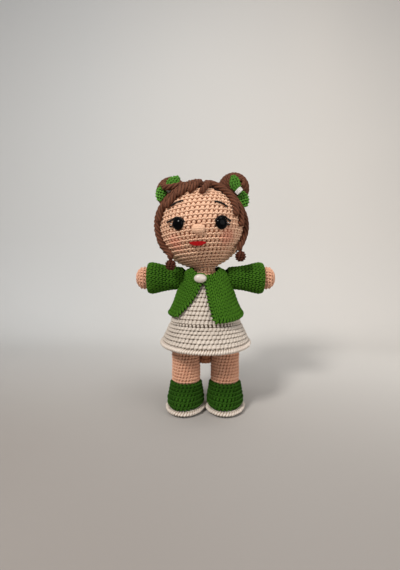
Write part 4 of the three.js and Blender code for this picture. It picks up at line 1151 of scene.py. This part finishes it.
# Floor, lamps and world
# The sweep's paper, with painted shade and painted light laid over it as gradients.
def paper_painted_shade():
    finish = Finish("paper_painted_shade", Roughness=0.9, Specular_IOR_Level=0.1)
    cloudy = finish.noise(3.0, 1.0)
    side, depth = parts_of(finish, finish.place())
    # Painted shade: the floor darkens towards the camera and to the left.
    near = finish.node("ShaderNodeMapRange", {"interpolation_type": "SMOOTHSTEP"},
                       {0: depth + side * 0.35, 1: 0.34, 2: -0.24})
    # Painted light: the floor lightens to the right.
    right = finish.node("ShaderNodeMapRange", None, {0: side, 1: -0.35, 2: 0.35})
    shade = finish.blend(right, srgb(214, 214, 212), srgb(232, 227, 220))
    shade = finish.blend(near, shade, srgb(134, 125, 118))
    shade = finish.blend(cloudy * 0.3, shade, srgb(208, 206, 203))
    return finish.give(Base_Color=shade, Normal=finish.bump(finish.noise(500.0), 0.03, 0.0003))


FLOOR_WIDTH, FLOOR_STEPS = 12.0, 60
sweep = smooth([(-1200, 0), (-500, 0), (150, 0), (380, 18), (520, 160), (560, 420), (560, 1500)],
               FLOOR_STEPS)
floor_bm = bmesh.new()
bmesh.ops.create_grid(floor_bm, x_segments=2, y_segments=FLOOR_STEPS, size=0.5)
for vert in floor_bm.verts:
    place = sweep.at(vert.co.y + 0.5)[0]
    vert.co = Vector((vert.co.x * FLOOR_WIDTH, place.x * MM, place.y * MM))
bmesh.ops.recalc_face_normals(floor_bm, faces=floor_bm.faces)
floor_mesh = baked("floor", floor_bm)
floor_mesh.materials.append(paper_painted_shade())
for face in floor_mesh.polygons:
    face.use_smooth = True
floor = linked("floor", floor_mesh)


def lamp(name, place, aim, size, power, colour):
    data = bpy.data.lights.new(name, "AREA")
    data.shape, data.size, data.energy, data.color = "DISK", size, power, colour
    lit = linked(name, data)
    lit.location = place
    lit.rotation_euler = (Vector(aim) - Vector(place)).to_track_quat("-Z", "Y").to_euler()


lamp("window", (-0.44, -0.66, 0.7), (0, 0, 0.12), 0.22, 7.6, (1.0, 0.98, 0.95))
lamp("ceiling", (0.15, -0.15, 1.1), (0, 0, 0.1), 0.5, 1.8, (1.0, 0.99, 0.97))
lamp("doorway", (0.62, -0.72, 0.36), (0, 0, 0.1), 1.0, 4.4, (1.0, 0.97, 0.94))
world = bpy.data.worlds.new("room")
world.use_nodes = True
world.node_tree.nodes["Background"].inputs["Color"].default_value = (0.93, 0.95, 1.0, 1.0)
world.node_tree.nodes["Background"].inputs["Strength"].default_value = 0.3
scene.world = world
